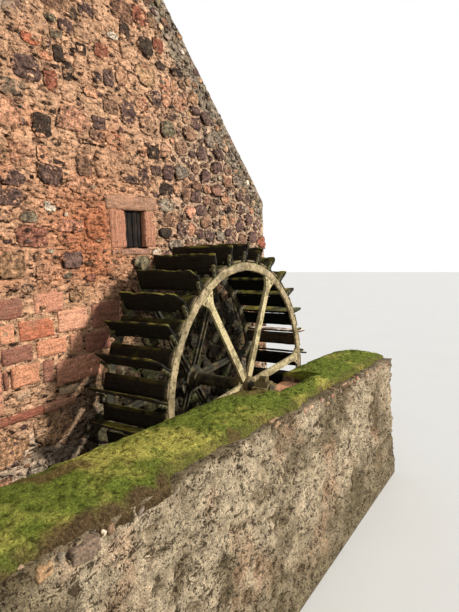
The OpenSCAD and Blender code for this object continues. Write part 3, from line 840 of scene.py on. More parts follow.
def dress_wall(wall, stones, cell, round_hole=None):
    """Places the stones of a wall and the closed sheet of lime between them."""
    place(stones, wall.name + "_stones", rubble_finish, "rubble_stone", flip=wall_flips(wall))
    behind = wall.plane - wall.sign * EMBED
    lime = close_sheet(lime_sheet(wall, cell, round_hole), 1 - wall.axis, lambda point: behind, clean=True)
    place(lime, wall.name + "_lime", rubble_finish, "rubble_stone")


print("lime is rough by", LIME_ROUGH)

# %% [markdown]
# The wheel gable is the wall of the photograph. Its stones are cobbles of a hand's breadth to a forearm,
# smaller to the right, with squared red blocks in courses low on the left and large grey ones under the
# band. The most striking stones of the photograph are placed one by one, as a mason would see them.

# %% Stones of the wheel gable
COURSE_TOPS = [2.70, 2.95, 3.18, 3.43, 3.67]
COURSE_FOOT = 2.47
COURSE_END = -2.86  # right of this every block has its own place


def hand_stone(u, z, wide, high, kind, power=5.0, lift=0.016):
    """A stone with its own place, size, squareness and tint."""
    return (u, z, wide / 2, high / 2, power, lift, STONES[kind])


# Place along and up, width, height and tint of each stone, and its squareness and lift where they differ.
HAND_STONES = [hand_stone(*stone) for stone in (
    (-2.29, 6.04, 0.36, 0.28, "purple"), (-1.86, 6.30, 0.16, 0.22, "dark"),
    (-1.75, 6.14, 0.16, 0.24, "dark", 4), (-1.99, 5.98, 0.20, 0.24, "brick", 8),
    (-2.20, 6.34, 0.26, 0.13, "orange", 7), (-2.04, 6.22, 0.22, 0.10, "salmon", 7),
    (-1.87, 6.49, 0.20, 0.12, "olive"), (-2.15, 5.48, 0.28, 0.29, "dark"),
    (-1.33, 5.65, 0.23, 0.18, "purple", 8), (-1.42, 5.98, 0.26, 0.13, "light", 6),
    (-1.60, 5.12, 0.26, 0.27, "brown", 9), (-0.36, 5.43, 0.29, 0.20, "dark", 5, 0.02),
    (-0.33, 5.19, 0.25, 0.15, "purple"), (-0.14, 4.95, 0.31, 0.20, "dark", 5, 0.02),
    (-0.84, 5.03, 0.27, 0.12, "purple"), (0.18, 4.38, 0.26, 0.25, "purple"),
    (-0.14, 4.52, 0.26, 0.20, "brown", 7), (0.56, 4.88, 0.30, 0.20, "purple"),
    (-0.04, 6.30, 0.22, 0.50, "pink", 6), (-0.51, 7.15, 0.30, 0.26, "brick"),
    (-0.16, 6.88, 0.24, 0.22, "brick"), (-2.62, 4.70, 0.36, 0.21, "purple"),
    (-2.37, 4.30, 0.42, 0.25, "plum", 14), (-1.86, 4.42, 0.40, 0.17, "rose", 16),
    (-2.42, 5.14, 0.30, 0.26, "pink", 14, 0.008), (-2.16, 5.18, 0.18, 0.20, "light", 9, 0.014),
    (-2.13, 4.62, 0.17, 0.13, "chalk", 6), (-1.92, 4.54, 0.07, 0.06, "chalk", 4, 0.02),
    (-1.74, 6.62, 0.22, 0.16, "purple"), (-1.53, 6.44, 0.17, 0.15, "dark"),
    (-1.42, 6.90, 0.26, 0.20, "purple"), (-1.02, 6.74, 0.22, 0.11, "chalk", 6),
    (-1.22, 6.50, 0.24, 0.20, "brick", 7), (-0.80, 6.86, 0.20, 0.22, "dark"),
    (-1.12, 5.88, 0.28, 0.22, "brown"), (-1.12, 6.22, 0.20, 0.24, "purple"),
    (-0.83, 4.88, 0.62, 0.09, "light", 14, 0.006), (-0.40, 4.07, 0.20, 0.12, "chalk", 4, 0.02),
    # Stones of lift 0.002 are painted shadow: thin dark strips where ledges cast shade.
    (-0.42, 3.93, 0.16, 0.13, "chalk", 4, 0.02), (-1.40, 5.38, 0.46, 0.045, "crack", 4, 0.002),
    (-1.60, 4.64, 0.40, 0.035, "crack", 4, 0.002), (-1.44, 4.93, 0.10, 0.07, "crack", 4, 0.002),
    (-2.32, 4.92, 0.07, 0.06, "crack", 4, 0.002), (-2.03, 4.15, 0.14, 0.03, "crack", 4, 0.002),
    (-2.34, 4.07, 0.12, 0.09, "dark", 5, 0.012), (-2.42, 3.98, 0.07, 0.07, "dark", 5, 0.012),
    (-2.10, 4.06, 0.14, 0.05, "dark", 5, 0.012), (-1.96, 3.86, 0.15, 0.11, "olive", 5, 0.010),
    (-1.62, 3.80, 0.18, 0.12, "plum", 4, 0.012), (-1.84, 3.62, 0.26, 0.17, "tan", 5, 0.008),
)]

# Left, foot, right and top of each block that the photograph shows, and its tint.
SQUARED = [
    (-2.86, 3.44, -2.56, 3.67, "plum"), (-2.44, 3.45, -2.04, 3.69, "rose"),
    (-1.65, 3.17, -1.18, 3.49, "plum"), (-2.86, 3.19, -2.67, 3.41, "salmon"),
    (-2.64, 3.18, -2.18, 3.42, "orange"), (-2.15, 3.20, -1.70, 3.47, "light"),
    (-2.86, 2.97, -2.47, 3.17, "plum"), (-2.45, 2.97, -2.03, 3.17, "salmon"),
    (-2.00, 2.93, -1.80, 3.18, "pink"), (-1.78, 2.89, -1.36, 3.15, "plum"),
    (-2.86, 2.71, -2.79, 2.93, "plum"), (-2.77, 2.71, -2.41, 2.95, "salmon"),
    (-2.39, 2.68, -2.23, 2.95, "plum"), (-2.21, 2.60, -1.55, 2.90, "rose"),
    (-2.20, 2.47, -1.88, 2.59, "buff"), (-2.74, 2.57, -2.54, 2.68, "buff"),
]


def courses(wall, rng):
    """Squared blocks in level courses left of those: widths drawn one after another along each course."""
    kinds, shares = zip(*AREAS["squared"].items())
    blocks = []
    foot = COURSE_FOOT
    for top in COURSE_TOPS:
        u = wall.low
        while u < COURSE_END - 0.05:
            right = min(u + rng.uniform(0.26, 0.48), COURSE_END)
            kind = rng.choice(kinds, p=np.array(shares) / sum(shares))
            drop = rng.uniform(-0.012, 0.012)
            blocks.append((u, foot + drop, right, top + drop, kind))
            u = right
        foot = top
    return blocks


WIDE_R, SMALL_R, VERGE_R, FOOT_STONE_R, PLAIN_R = 0.118, 0.076, 0.040, 0.17, 0.125
FOOT_TOP = 2.4  # the band lies at this height, and the stones below it are larger and grey


def gable_radius(u, z):
    """Half size of the rubble: small to the right and along the edge, large and grey under the band."""
    size = WIDE_R + (SMALL_R - WIDE_R) * step(u, -1.2, 0.5)
    size = np.where(under_head(WALLS["gable"], u, z) < verge_width(u), VERGE_R, size)
    return np.where((z < FOOT_TOP) & (z > 1.8) & (u < 0), FOOT_STONE_R, size)


def gable_area(u, z, rng):
    """Name of the area that each stone of the wheel gable belongs to."""
    area = np.where(u + rng.normal(0, 0.25, len(u)) > -0.25, "cobbles", "upper").astype("<U8")
    area[fire(WALLS["gable"], u, z) > rng.uniform(0.25, 0.8, len(u))] = "fiery"
    area[(u < -0.9) & (z < 3.7) & (z > 2.5)] = "upper"
    area[under_head(WALLS["gable"], u, z) < verge_width(u)] = "verge"
    area[z < FOOT_TOP] = "foot"
    return area


def cobble_lift(u, z, rng):
    """Height of the stones over the lime: flatter on the left of the wheel gable."""
    return rng.uniform(0.010, 0.028 + 0.014 * step(u, -0.8, 0.2))


gable = WALLS["gable"]
band_low, band_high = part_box("band_course")
AXLE_ROOM, AXLE_HOLE_R = 0.19, 0.152
GABLE_TRIES, GABLE_SIDES = 32000, 12  # places tried for stones, and sides of a stone
GABLE_CHIPS, GABLE_CELL = 3400, 0.047  # number of chips, and cell of the lime
gable_free = surround(WINDOWS[0]) + [
    gable_window,
    (band_low.x, band_low.z - 0.01, band_high.x, band_high.z + 0.01),
    (axle[0] - AXLE_ROOM, axle[2] - AXLE_ROOM, axle[0] + AXLE_ROOM, axle[2] + AXLE_ROOM),
]
squared = SQUARED + courses(gable, np.random.default_rng(12))
stones_free = gable_free + [block[:4] for block in squared]
gable_form = rubble(gable, gable_radius, gable_area, cobble_lift, GABLE_TRIES, GABLE_SIDES, stones_free,
                    HAND_STONES)
chips_free = gable_free + [(left_x, COURSE_FOOT, SQUARED[2][2], COURSE_TOPS[-1])]
chips(gable_form, gable, GABLE_CHIPS, chips_free, np.random.default_rng(31))
dress_wall(gable, gable_form, GABLE_CELL, (axle[0], axle[2], AXLE_HOLE_R))

# %% [markdown]
# The other three walls get the same dress with larger rubble, as the photograph doesn't show them. The side
# walls run from corner to corner under the eaves, and the ends of the gables rise a little higher at both
# ends.

# %% Stones of the other walls
PLAIN_TRIES, PLAIN_SIDES, PLAIN_CELL = 6000, 9, 0.085


def plain_radius(u, z):
    """Half size of the rubble, the same all over a wall."""
    return np.full(np.shape(u), PLAIN_R)


def plain_area(u, z, rng):
    """Name of the area of each stone: three kinds at random, and grey at the foot."""
    area = rng.choice(["upper", "cobbles", "squared"], len(u), p=[0.6, 0.25, 0.15]).astype("<U8")
    area[z < 0.9] = "foot"
    return area


back = WALLS["back"]
DOOR_JAMB, DOOR_LINTEL_H, DOOR_STEP_H = 0.24, 0.28, 0.15
door_left, door_foot, door_right, door_top = door_hole
frame_foot, frame_top = door_foot - DOOR_STEP_H, door_top + DOOR_LINTEL_H
door_frame = (door_left - DOOR_JAMB, frame_foot, door_right + DOOR_JAMB, frame_top)
side_free = surround(WINDOWS[1]) + [side_window]
for wall, free in ((back, [door_frame]), (WALLS["left"], side_free), (WALLS["right"], side_free)):
    stones = rubble(wall, plain_radius, plain_area, cobble_lift, PLAIN_TRIES, PLAIN_SIDES, free)
    dress_wall(wall, stones, PLAIN_CELL)

# %% [markdown]
# Dressed stones are boxes whose faces are cut into cells, with the edges rounded and the whole skin worn by
# noise. Rounding works on every box alike: each point keeps its distance from an inner box that is smaller
# by the radius. Long stones are cut where a mason would joint them.

# %% Worn blocks


def block_shell(cells):
    """Places from 0 to 1 on the skin of a box that is cut into cells, and the quads that join them."""
    n = np.array(cells)
    quads = []
    for axis in range(3):
        a, b = (axis + 1) % 3, (axis + 2) % 3
        i, j = (g.ravel() for g in np.meshgrid(np.arange(n[a]), np.arange(n[b]), indexing="ij"))
        for side in (0, 1):
            corners = np.zeros((i.size, 4, 3), int)
            corners[..., axis] = side * n[axis]
            corners[..., a] = i[:, None] + np.array([0, 1, 1, 0])
            corners[..., b] = j[:, None] + np.array([0, 0, 1, 1])
            quads.append(corners if side else corners[:, ::-1])
    corners = np.concatenate(quads).reshape(-1, 3)
    places, index = np.unique(corners, axis=0, return_inverse=True)
    return places / n, index.reshape(-1, 4)


def worn_block(form, low, high, cell=0.06, radius=0.018, wear=0.008, size=0.09, seed=1, bend=None, **marks):
    """Adds a worn box: rounded edges, skin pushed in and out by noise, then bent by a function of its points.

    A mark can be a function of the points and the directions that the skin faces.
    """
    low, high = np.array(low, float), np.array(high, float)
    share, quads = block_shell(np.maximum(1, np.round((high - low) / cell)).astype(int))
    radius = min(radius, 0.45 * float((high - low).min()))
    points = low + share * (high - low)
    core = np.clip(points, low + radius, high - radius)
    way = (points - core) / radius
    way /= np.maximum(np.linalg.norm(way, axis=1, keepdims=True), 1e-9)
    points = core + way * (radius + wear * (rough(points, size, seed, 2) - 0.5)[:, None])
    if bend:
        outer = bend(points + 0.001 * way)
        points = bend(points)
        way = (outer - points) / 0.001
    made = {name: mark(points, way) if callable(mark) else mark for name, mark in marks.items()}
    form.add(points, quads, **made)


def wall_box(wall, u0, z0, u1, z1, out, deep):
    """Low and high corner of a box in a wall, from out metres before its face to deep metres behind it."""
    across = sorted((wall.plane + wall.sign * out, wall.plane - wall.sign * deep))
    if wall.axis == 0:
        return (u0, across[0], z0), (u1, across[1], z1)
    return (across[0], u0, z0), (across[1], u1, z1)


def stone_tint(kind, rng, spread=0.07):
    """Tint of one dressed stone: the colour of its kind, a little lighter or darker and a little off."""
    return 1.08 * STONES[kind] * np.exp(rng.normal(0, spread, 3) * 0.4 + rng.normal(0, spread))


block_rng = np.random.default_rng(17)
course_form = Form()
for k, (u0, z0, u1, z1, kind) in enumerate(squared):
    bulge = float(swell(gable, (u0 + u1) / 2, (z0 + z1) / 2)) + block_rng.uniform(0.014, 0.022)
    low, high = wall_box(gable, u0 + JOINT / 2, z0 + JOINT / 2, u1 - JOINT / 2, z1 - JOINT / 2, bulge, EMBED)
    worn_block(course_form, low, high, 0.030, 0.012, 0.010, 0.10, k, tint=stone_tint(kind, block_rng, 0.035))
place(course_form, "squared_blocks", sandstone_finish, "dressed_stone")

# %% [markdown]
# The openings have dressed stones round them, worn round at their edges, and fixed boards inside. Every
# sill stands out a little further than the rest.

# %% Stones and boards of the windows
WALL_T = room_y - face_y
PROUD = 0.022  # dressed stone stands this far before the face of the frame
SILL_OUT = 0.01  # and a sill this much further
BOARDS, BOARD_IN, BOARD_T, GAP = 4, 0.05, 0.035, 0.003
rng = np.random.default_rng(21)

lintels, jambs, sills, boards = Form(), Form(), Form(), Form()
for k, w in enumerate(WINDOWS):
    for n, (form, corners) in enumerate(zip((lintels, jambs, jambs, sills), surround(w))):
        low, high = wall_box(w.wall, *corners, PROUD + (SILL_OUT if form is sills else -0.002 * n), WALL_T)
        kind = "jamb" if form is jambs else "lintel"
        wear = 0.028 if form is sills else 0.009
        worn_block(form, low, high, 0.035, 0.02, wear, 0.11, n + 1 + 5 * k, tint=stone_tint(kind, rng, 0.03))
    left, foot, right, top = w.hole
    for n, (u0, u1) in enumerate(itertools.pairwise(np.linspace(left, right, BOARDS + 1))):
        front = BOARD_IN + 0.004 * (n % 2)
        low, high = wall_box(w.wall, u0 + GAP, foot, u1 - GAP, top, -front, BOARD_IN + BOARD_T)
        worn_block(boards, low, high, 0.03, 0.005, 0.003, 0.05, n, rim=rng.random())

# %% [markdown]
# Old boards grey and crack along the grain. The grain is noise drawn out along one axis, dark in the
# cracks, and each board has its own lightness, kept in the mark called rim.

# %% Boards


def old_boards():
    """Grey upright boards: dark cracks along the grain, and a lightness of its own for each board."""
    f = Finish("grey_upright_boards")
    grain = f.noise(60.0, 5.0, stretch=(1, 1, 0.05), roughness=0.65)
    colour = f.lerp(ink(10, 6, 3), ink(64, 46, 29), f.slope(grain, 0.47, 0.66))
    colour = f.shade(colour, f.mark("rim", False), 0.0, 1.0, 0.6, 1.2)
    colour = f.shade(colour, f.noise(6.0), 0.3, 0.7, 0.7, 1.15)
    colour = f.shade(colour, grain, 0.34, 0.40, 0.35, 1.0)
    return f.done(colour, grain, 0.004)


board_finish = old_boards()
place(lintels, "lintel_stones", sandstone_finish, "dressed_stone", ["window_lintels"])
place(jambs, "jamb_stones", tooled_finish, "dressed_stone", ["window_jambs"])
place(sills, "sill_stones", sandstone_finish, "dressed_stone", ["window_sills"])
place(boards, "window_planks", board_finish, "grey_boards", ["window_boards"])

# %% [markdown]
# The band is a course of thin stones that stand out of the wheel gable. The doorway of the back gable has
# long jamb stones, a lintel and a worn threshold, and its leaf is made of upright planks.

# %% Band, doorway and door
BAND_STONE, DOOR_STONES, DOOR_PLANKS = 0.62, 5, 7
band = Form()
joints = np.append(np.arange(band_low.x, band_high.x - 0.4, BAND_STONE), band_high.x)
for k, (u0, u1) in enumerate(itertools.pairwise(joints)):
    low = (u0 + 0.004, band_low.y, band_low.z)
    high = (u1 - 0.004, band_high.y + 0.05, band_high.z)
    kind = "brick" if k % 3 else "pink"
    worn_block(band, low, high, 0.035, 0.014, 0.010, 0.12, k, tint=stone_tint(kind, rng))
place(band, "band_stones", sandstone_finish, "dressed_stone", ["band_course"])

doorway, doorstep, doorhead = Form(), Form(), Form()
for left in (door_left - DOOR_JAMB, door_right):
    for k, (z0, z1) in enumerate(itertools.pairwise(np.linspace(door_foot, door_top, DOOR_STONES + 1))):
        low, high = wall_box(back, left, z0 + GAP, left + DOOR_JAMB, z1 - GAP, PROUD, WALL_T)
        worn_block(doorway, low, high, 0.07, 0.02, 0.010, 0.12, k, tint=stone_tint("pink", rng))
for form, foot, top, seed in ((doorhead, door_top, frame_top, 9), (doorstep, frame_foot, door_foot, 11)):
    low, high = wall_box(back, door_frame[0], foot, door_frame[2], top, PROUD, WALL_T)
    worn_block(form, low, high, 0.06, 0.02, 0.010, 0.12, seed, tint=stone_tint("tan", rng))
place(doorway, "door_jamb_stones", sandstone_finish, "dressed_stone", ["door_jambs"])
place(doorhead, "door_lintel_stone", sandstone_finish, "dressed_stone", ["door_lintel"])
place(doorstep, "door_step_stone", sandstone_finish, "dressed_stone", ["door_threshold"])

planks = Form()
for k, (u0, u1) in enumerate(itertools.pairwise(np.linspace(door_low.x, door_high.x, DOOR_PLANKS + 1))):
    low = (u0 + GAP, door_low.y, door_low.z + 0.004)
    high = (u1 - GAP, door_high.y, door_high.z - 0.004)
    worn_block(planks, low, high, 0.07, 0.006, 0.003, 0.06, k, rim=rng.random())
place(planks, "door_planks", board_finish, "grey_boards", ["door_leaf"])

# %% [markdown]
# The heads of both gables are stones laid flat along the slope, one beside the other across the wall. They
# are worn blocks made level and then turned onto the rake. Tiles are laid with the same turn.

# %% Stones along the rakes
RAKE_LENGTH = (ridge_x - left_x) / slope_cos
RAKE_ROWS, RAKE_OUT, SINK = 3, 0.02, 0.05  # rows across a gable, how far they stand out of it, their depth


def onto_rake(side, lift=0.0):
    """Turns points (down the slope, across the gable, square to the slope) onto the left or right rake."""

    def turn(points):
        down, across, out = points[:, 0], points[:, 1], points[:, 2] + lift
        slope_sin = slope * slope_cos
        x = ridge_x + side * (down * slope_cos + out * slope_sin)
        return np.stack([x, across, ridge_z - down * slope_sin + out * slope_cos], -1)

    return turn


rakes = {1: Form(), -1: Form()}
for side, start_y in itertools.product((1, -1), (face_y, far_y)):
    for row, y0 in enumerate(np.linspace(start_y, start_y + WALL_T, RAKE_ROWS + 1)[:-1]):
        y1 = y0 + WALL_T / RAKE_ROWS - 0.010 + RAKE_OUT * (row == RAKE_ROWS - 1)
        down = 0.02
        while down < RAKE_LENGTH - 0.08:
            length = min(rng.uniform(0.14, 0.36), RAKE_LENGTH - down)
            low = (down, y0 - RAKE_OUT * (row == 0), -SINK)
            high = (down + length - 0.012, y1, rng.uniform(0.0, 0.04))
            kind = rng.choice(["grey", "olive", "tan", "brown"])
            worn_block(rakes[side], low, high, 0.05, 0.03, 0.022, 0.08, int(down * 50) + row, onto_rake(side),
                       tint=STONES[kind] * rng.uniform(0.7, 1.2), lime=GREY_LIME, rim=rng.uniform(0.0, 0.9))
            down += length
place(rakes[1], "rake_stones_right", rubble_finish, "rubble_stone")
place(rakes[-1], "rake_stones_left", rubble_finish, "rubble_stone", flip=True)

# %% [markdown]
# A pantile is an S-shaped sheet of burnt clay. It hangs on the tile below, and its roll covers the edge of
# the tile beside it. One tile is a closed shell of a few dozen faces, and the roof lays it a thousand
# times, each a little out of true and with its own firing.

# %% Tiles
TILE_PITCH, TILE_SHOW, TILE_LONG, TILE_T = 0.2, 0.282, 0.35, 0.012
TILE_TILT = 0.05  # each tile lies on the one below it
SLAB_DROP = 0.09  # the slabs of the roof lie this far below the heads of the gables
ROLL = 0.022
RIDGE_LONG, RIDGE_LAP, RIDGE_T, RIDGE_STEP, RIDGE_SIDES = 0.47, 0.03, 0.016, 0.012, 10


def sleeve(first, last):
    """A closed shell between two ends, each a loop: along the upper side, then back along the lower one."""
    around = len(first)
    n = np.arange(around // 2 - 1)
    ends = np.stack([n, n + 1, around - 2 - n, around - 1 - n], -1)
    quads = np.concatenate([sheet_quads(2, around, close_columns=True), ends, ends[:, ::-1] + around])
    return np.concatenate([first, last]), quads


def tile_shell(segments=6):
    """One tile: an S-shaped section across, swept down the slope, closed all round."""
    across = np.linspace(-0.07, 1.07, segments + 1)
    wave = ROLL * np.sin(2 * np.pi * (across - 0.25))
    upper = np.stack([0 * across, across * TILE_PITCH, wave + TILE_T], -1)
    head = np.concatenate([upper, upper[::-1] - (0, 0, TILE_T)])
    return sleeve(head, head + (TILE_LONG, 0, 0))


def tiles(side):
    """All tiles of one slope as copies of one shell, tilted so that each tail lies on the tile below."""
    shell, quads = tile_shell()
    columns = int((far_y - room_y) / TILE_PITCH)
    rows = int((RAKE_LENGTH + 0.02) / TILE_SHOW) + 1
    row, column = (g.ravel() for g in np.meshgrid(np.arange(rows), np.arange(columns), indexing="ij"))
    count = row.size
    tilt = TILE_TILT + rng.normal(0, 0.004, count)
    points = np.tile(shell, (count, 1, 1))
    points[..., 2] += points[..., 0] * tilt[:, None] + rng.normal(0, 0.002, count)[:, None]
    points[..., 0] += (row * TILE_SHOW + rng.normal(0, 0.006, count))[:, None]
    points[..., 1] += (room_y + (far_y - room_y) / columns * column + rng.normal(0, 0.003, count))[:, None]
    points = onto_rake(side, -SLAB_DROP + ROLL + 0.004)(points.reshape(-1, 3))
    tint = mixed(ink(150, 84, 58), ink(112, 70, 54), rng.random(count))
    tint = tint * np.exp(rng.normal(0, 0.12, (count, 1)))
    form = Form()
    form.add(points, quads, copies=count, tint=np.repeat(tint, len(shell), 0))
    return form


ridge_low, ridge_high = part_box("ridge_tiles")
ridge_r = (ridge_high.x - ridge_low.x) / 2


def ridge_end(y, radius, lift):
    """One end of a ridge piece: the outer half circle over the ridge and the inner one on the way back."""
    turn = np.linspace(0, np.pi, RIDGE_SIDES + 1)
    turn = np.concatenate([turn, turn[::-1]])
    r = np.repeat([radius, radius - RIDGE_T], RIDGE_SIDES + 1)
    z = ridge_high.z - ridge_r + lift + r * np.sin(turn)
    return np.stack([ridge_x + r * np.cos(turn), 0 * turn + y, z], -1)


def clay():
    """Burnt clay: the tint of each tile, olive growth in patches, and pale specks."""
    f = Finish("weathered_clay")
    grime = f.noise(2.2, 6.0)
    colour = f.shade(f.mark("tint"), f.noise(14.0, 5.0), 0.3, 0.7, 0.72, 1.2)
    colour = f.lerp(colour, ink(96, 98, 70), f.slope(grime, 0.5, 0.72, 0, 0.55))
    colour = f.lerp(colour, ink(168, 160, 132), f.slope(f.cells(26.0), 0.05, 0.16, 0.6, 0.0))
    return f.done(colour, f.noise(90.0), 0.003)


clay_finish = clay()
for side, word in ((-1, "left"), (1, "right")):
    place(tiles(side), "pantiles_" + word, clay_finish, "clay_tile", flip=side < 0, smooth=False)

ridge = Form()
for k, y0 in enumerate(np.arange(ridge_low.y, ridge_high.y - 0.2, RIDGE_LONG)):
    y1 = min(y0 + RIDGE_LONG + RIDGE_LAP, ridge_high.y)
    lift = RIDGE_STEP * (k % 2) - RIDGE_STEP
    points, quads = sleeve(ridge_end(y0, ridge_r, lift), ridge_end(y1, ridge_r - 0.010, lift))
    ridge.add(points, quads, tint=ink(146, 86, 62) * rng.uniform(0.8, 1.15))
place(ridge, "ridge_pieces", clay_finish, "clay_tile", ["ridge_tiles"], smooth=False)

# %% [markdown]
# The wheel is the heart of the mill. Its two rims are cast rings with a short iron start behind each float.
# The boards lean, and their tips are worn and rotted. All of it is laid out at the foot of each float, as
# the frame does: along the board and across it, turned by the float's angle and its lean.

# %% Sizes of the wheel
FLOATS, FLOAT_TURN, LEAN = 30, math.radians(4.4), math.radians(18)
FLOAT_T, FLOAT_REACH, SEAT = 0.036, 0.26, 0.0003
RIM_R, RIM_DEPTH = 1.70, 0.12
START_LONG, START_W = 0.13, 0.046
rim_low, rim_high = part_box("front_rim")
RIM_T = rim_high.y - rim_low.y
FOOT_R = RIM_R + SEAT + FLOAT_T / 2 * math.sin(LEAN)
FLOAT_H = math.sqrt((RIM_R + FLOAT_REACH) ** 2 - (FOOT_R * math.sin(LEAN)) ** 2) - FOOT_R * math.cos(LEAN)


def float_angle(index):
    """Turn of a float about the axle."""
    return FLOAT_TURN + index * 2 * np.pi / FLOATS


def at_foot(index, along, across):
    """Places in the wheel's plane for points along and across a float: leaned, then turned by its angle."""
    turn = float_angle(index)
    x = FOOT_R + along * math.cos(LEAN) + across * math.sin(LEAN)
    z = across * math.cos(LEAN) - along * math.sin(LEAN)
    return axle[0] + x * np.cos(turn) - z * np.sin(turn), axle[2] + x * np.sin(turn) + z * np.cos(turn)


def foot_bend(index):
    """Turns a block's points (along the float, along the axle, across the float) to the foot of a float."""

    def turn(points):
        x, z = at_foot(index, points[:, 0], points[:, 2])
        return np.stack([x, points[:, 1], z], -1)

    return turn


def moss_and_lit_tops(base, growth=ink(140, 132, 58), share=1.0):
    """A mark: the base colour, with moss where the skin looks up, partly painted light: lit tops over shaded
    sides. The wheel has stood still for years.
    """

    def tint(points, way):
        patch = rough(points, 0.10, 77)
        # Growth on faces that look up: partly moss, partly painted sunlight on the tops.
        upward = step(way[:, 2] + 0.30 * patch, 0.55, 0.95)
        return mixed(base, growth, share * upward * step(patch, -0.9, 0.5))

    return tint


print("floats reach", round(FLOAT_H, 3), "above their feet")

# %% [markdown]
# The castings were painted pale once. Lime, lichen and rust share them now: a cream ground, rusty pits, and
# dark algae low down. The same layers with other shares make the hubs and the bearings, which are darker
# and rustier. The castings at the back of the wheel and the axle are darker still, partly as painted shade.

# %% Iron


def iron(name, ground=None, rust_share=0.0):
    """Weathered iron on a ground of one colour, or else on the piece's own tint."""
    f = Finish(name, 0.6, 0.9, specular=0.4)
    grit = f.noise(42.0, 5.0, roughness=0.7)
    scale = f.noise(11.0, 6.0, roughness=0.7)
    colour = f.shade(f.mark("tint") if ground is None else ground, grit, 0.33, 0.68, 0.70, 1.22)
    colour = f.lerp(colour, ink(112, 98, 66), f.slope(f.noise(8.0, 6.0), 0.46, 0.62, 0, 0.8))
    colour = f.lerp(colour, ink(118, 70, 42), f.slope(scale, 0.64 - rust_share, 0.72 - rust_share, 0, 0.9))
    colour = f.shade(colour, f.noise(34.0, 3.0), 0.35, 0.43, 0.3, 1.0)
    return f.done(colour, f.sum(scale, f.times(grit, 0.7)), 0.006)


# The back castings take the dark tint: the same pale iron, painted in shade.
PALE, SHADED_BACK_IRON, STUB = ink(186, 164, 124), ink(50, 46, 30), ink(66, 62, 34)
tinted_iron = iron("weathered_castings")
pale_iron = iron("cream_iron", ink(206, 188, 140), 0.02)
# Painted shade, with wet: the iron at the back of the wheel, the axle and the wall bearing.
shaded_iron = iron("dark_wet_iron", ink(46, 42, 26), 0.03)
mossy_iron = iron("mossy_iron", ink(120, 104, 64), 0.02)
print("iron:", tinted_iron.name, pale_iron.name, shaded_iron.name, mossy_iron.name)

# %% [markdown]
# A cast rim is a ring whose section is a rounded bar. Water has pitted it, so the skin is drawn in and out
# by fine noise, and its outer edge is nibbled. The starts are short bars that hold the floats, each with
# two bolts. Moss has grown in lumps where the starts of the upper floats hold the wet.

# %% Rims with starts and bolts
START_GAP = 0.003  # a start is this much thinner than the rim, on both sides


def ring(form, y0, y1, inner, outer, colour, sides=300, section=12, wear=0.006, seed=1):
    """A ring round the axle with a rounded section, pitted by noise and nibbled along its outer edge."""
    turn = 2 * np.pi * np.arange(sides)[:, None] / sides
    around = 2 * np.pi * np.arange(section)[None] / section + np.pi / section
    square = lambda v: np.sign(v) * np.abs(v) ** 0.45
    r = (inner + outer) / 2 + (outer - inner) / 2 * square(np.cos(around)) + 0 * turn
    y = (y0 + y1) / 2 + (y1 - y0) / 2 * square(np.sin(around)) + 0 * turn
    points = np.stack([r * np.cos(turn), y, r * np.sin(turn)], -1)
    noise = rough(points, 0.05, seed, 3)
    edge = np.clip(np.cos(around), 0, 1)
    bites = 0.010 * edge * step(rough(points, 0.13, seed + 5), 0.3, 1.0)
    r = r + wear * (noise - 0.4) * np.cos(around) - bites
    y = y + 0.4 * wear * noise * np.sin(around)
    points = np.stack([axle[0] + r * np.cos(turn), y, axle[2] + r * np.sin(turn)], -1)
    moss = step(edge + 0.6 * rough(points, 0.12, seed + 9), 0.5, 1.1) * step(points[..., 2], 2.0, 3.2)
    tint = mixed(colour, colour * 0.55, step(rough(points, 0.2, seed + 7), 0.1, 1.0))
    tint = mixed(tint, ink(96, 92, 40), moss)
    form.add(points, sheet_quads(sides, section, close_rows=True, close_columns=True)[:, ::-1],
             tint=tint.reshape(-1, 3))


def bolt(form, centre, way, radius=0.014, height=0.012, colour=STUB):
    """A six-sided bolt head with a low dome, standing on a point along the axle's direction."""
    turn = np.pi / 3 * np.arange(6)
    foot = -0.004
    levels = ((radius, foot), (radius, height * 0.8), (radius * 0.75, height))
    rings = [np.stack([r * np.cos(turn), 0 * turn + way * h, r * np.sin(turn)], -1) for r, h in levels]
    middles = [(0, way * height, 0), (0, way * foot, 0)]
    quads, last = sheet_quads(3, 6, close_columns=True), 18
    tris = np.concatenate([fan(np.arange(6) + 12, last), fan(np.arange(6), last + 1)[:, ::-1]])
    if way > 0:
        quads, tris = quads[:, ::-1], tris[:, ::-1]
    form.add(np.concatenate([*rings, middles]) + centre, quads, tris, tint=colour)


# The back rim is the same pale casting in painted shade.
for word, sign, outside, y0, colour in (("front", -1, wheel_front, wheel_front, PALE),
                                        ("back", 1, wheel_back, wheel_back - RIM_T, SHADED_BACK_IRON)):
    form = Form()
    ring(form, y0, y0 + RIM_T, RIM_R - RIM_DEPTH, RIM_R, colour, seed=3 + sign)
    across = FLOAT_T / 2 + SEAT
    low = (-RIM_DEPTH / 2, y0 + START_GAP, across)
    high = (START_LONG, y0 + RIM_T - START_GAP, across + START_W)
    for i in range(FLOATS):
        worn_block(form, low, high, 0.022, 0.010, 0.005, 0.05, i, foot_bend(i), tint=moss_and_lit_tops(STUB, share=0.7))
        for along in (0.03, 0.095):
            x, z = at_foot(i, along, across + START_W / 2)
            bolt(form, (x, outside - sign * 0.004, z), sign)
    place(form, word + "_rim_casting", tinted_iron, "lichened_iron", [word + "_rim"], "wheel")


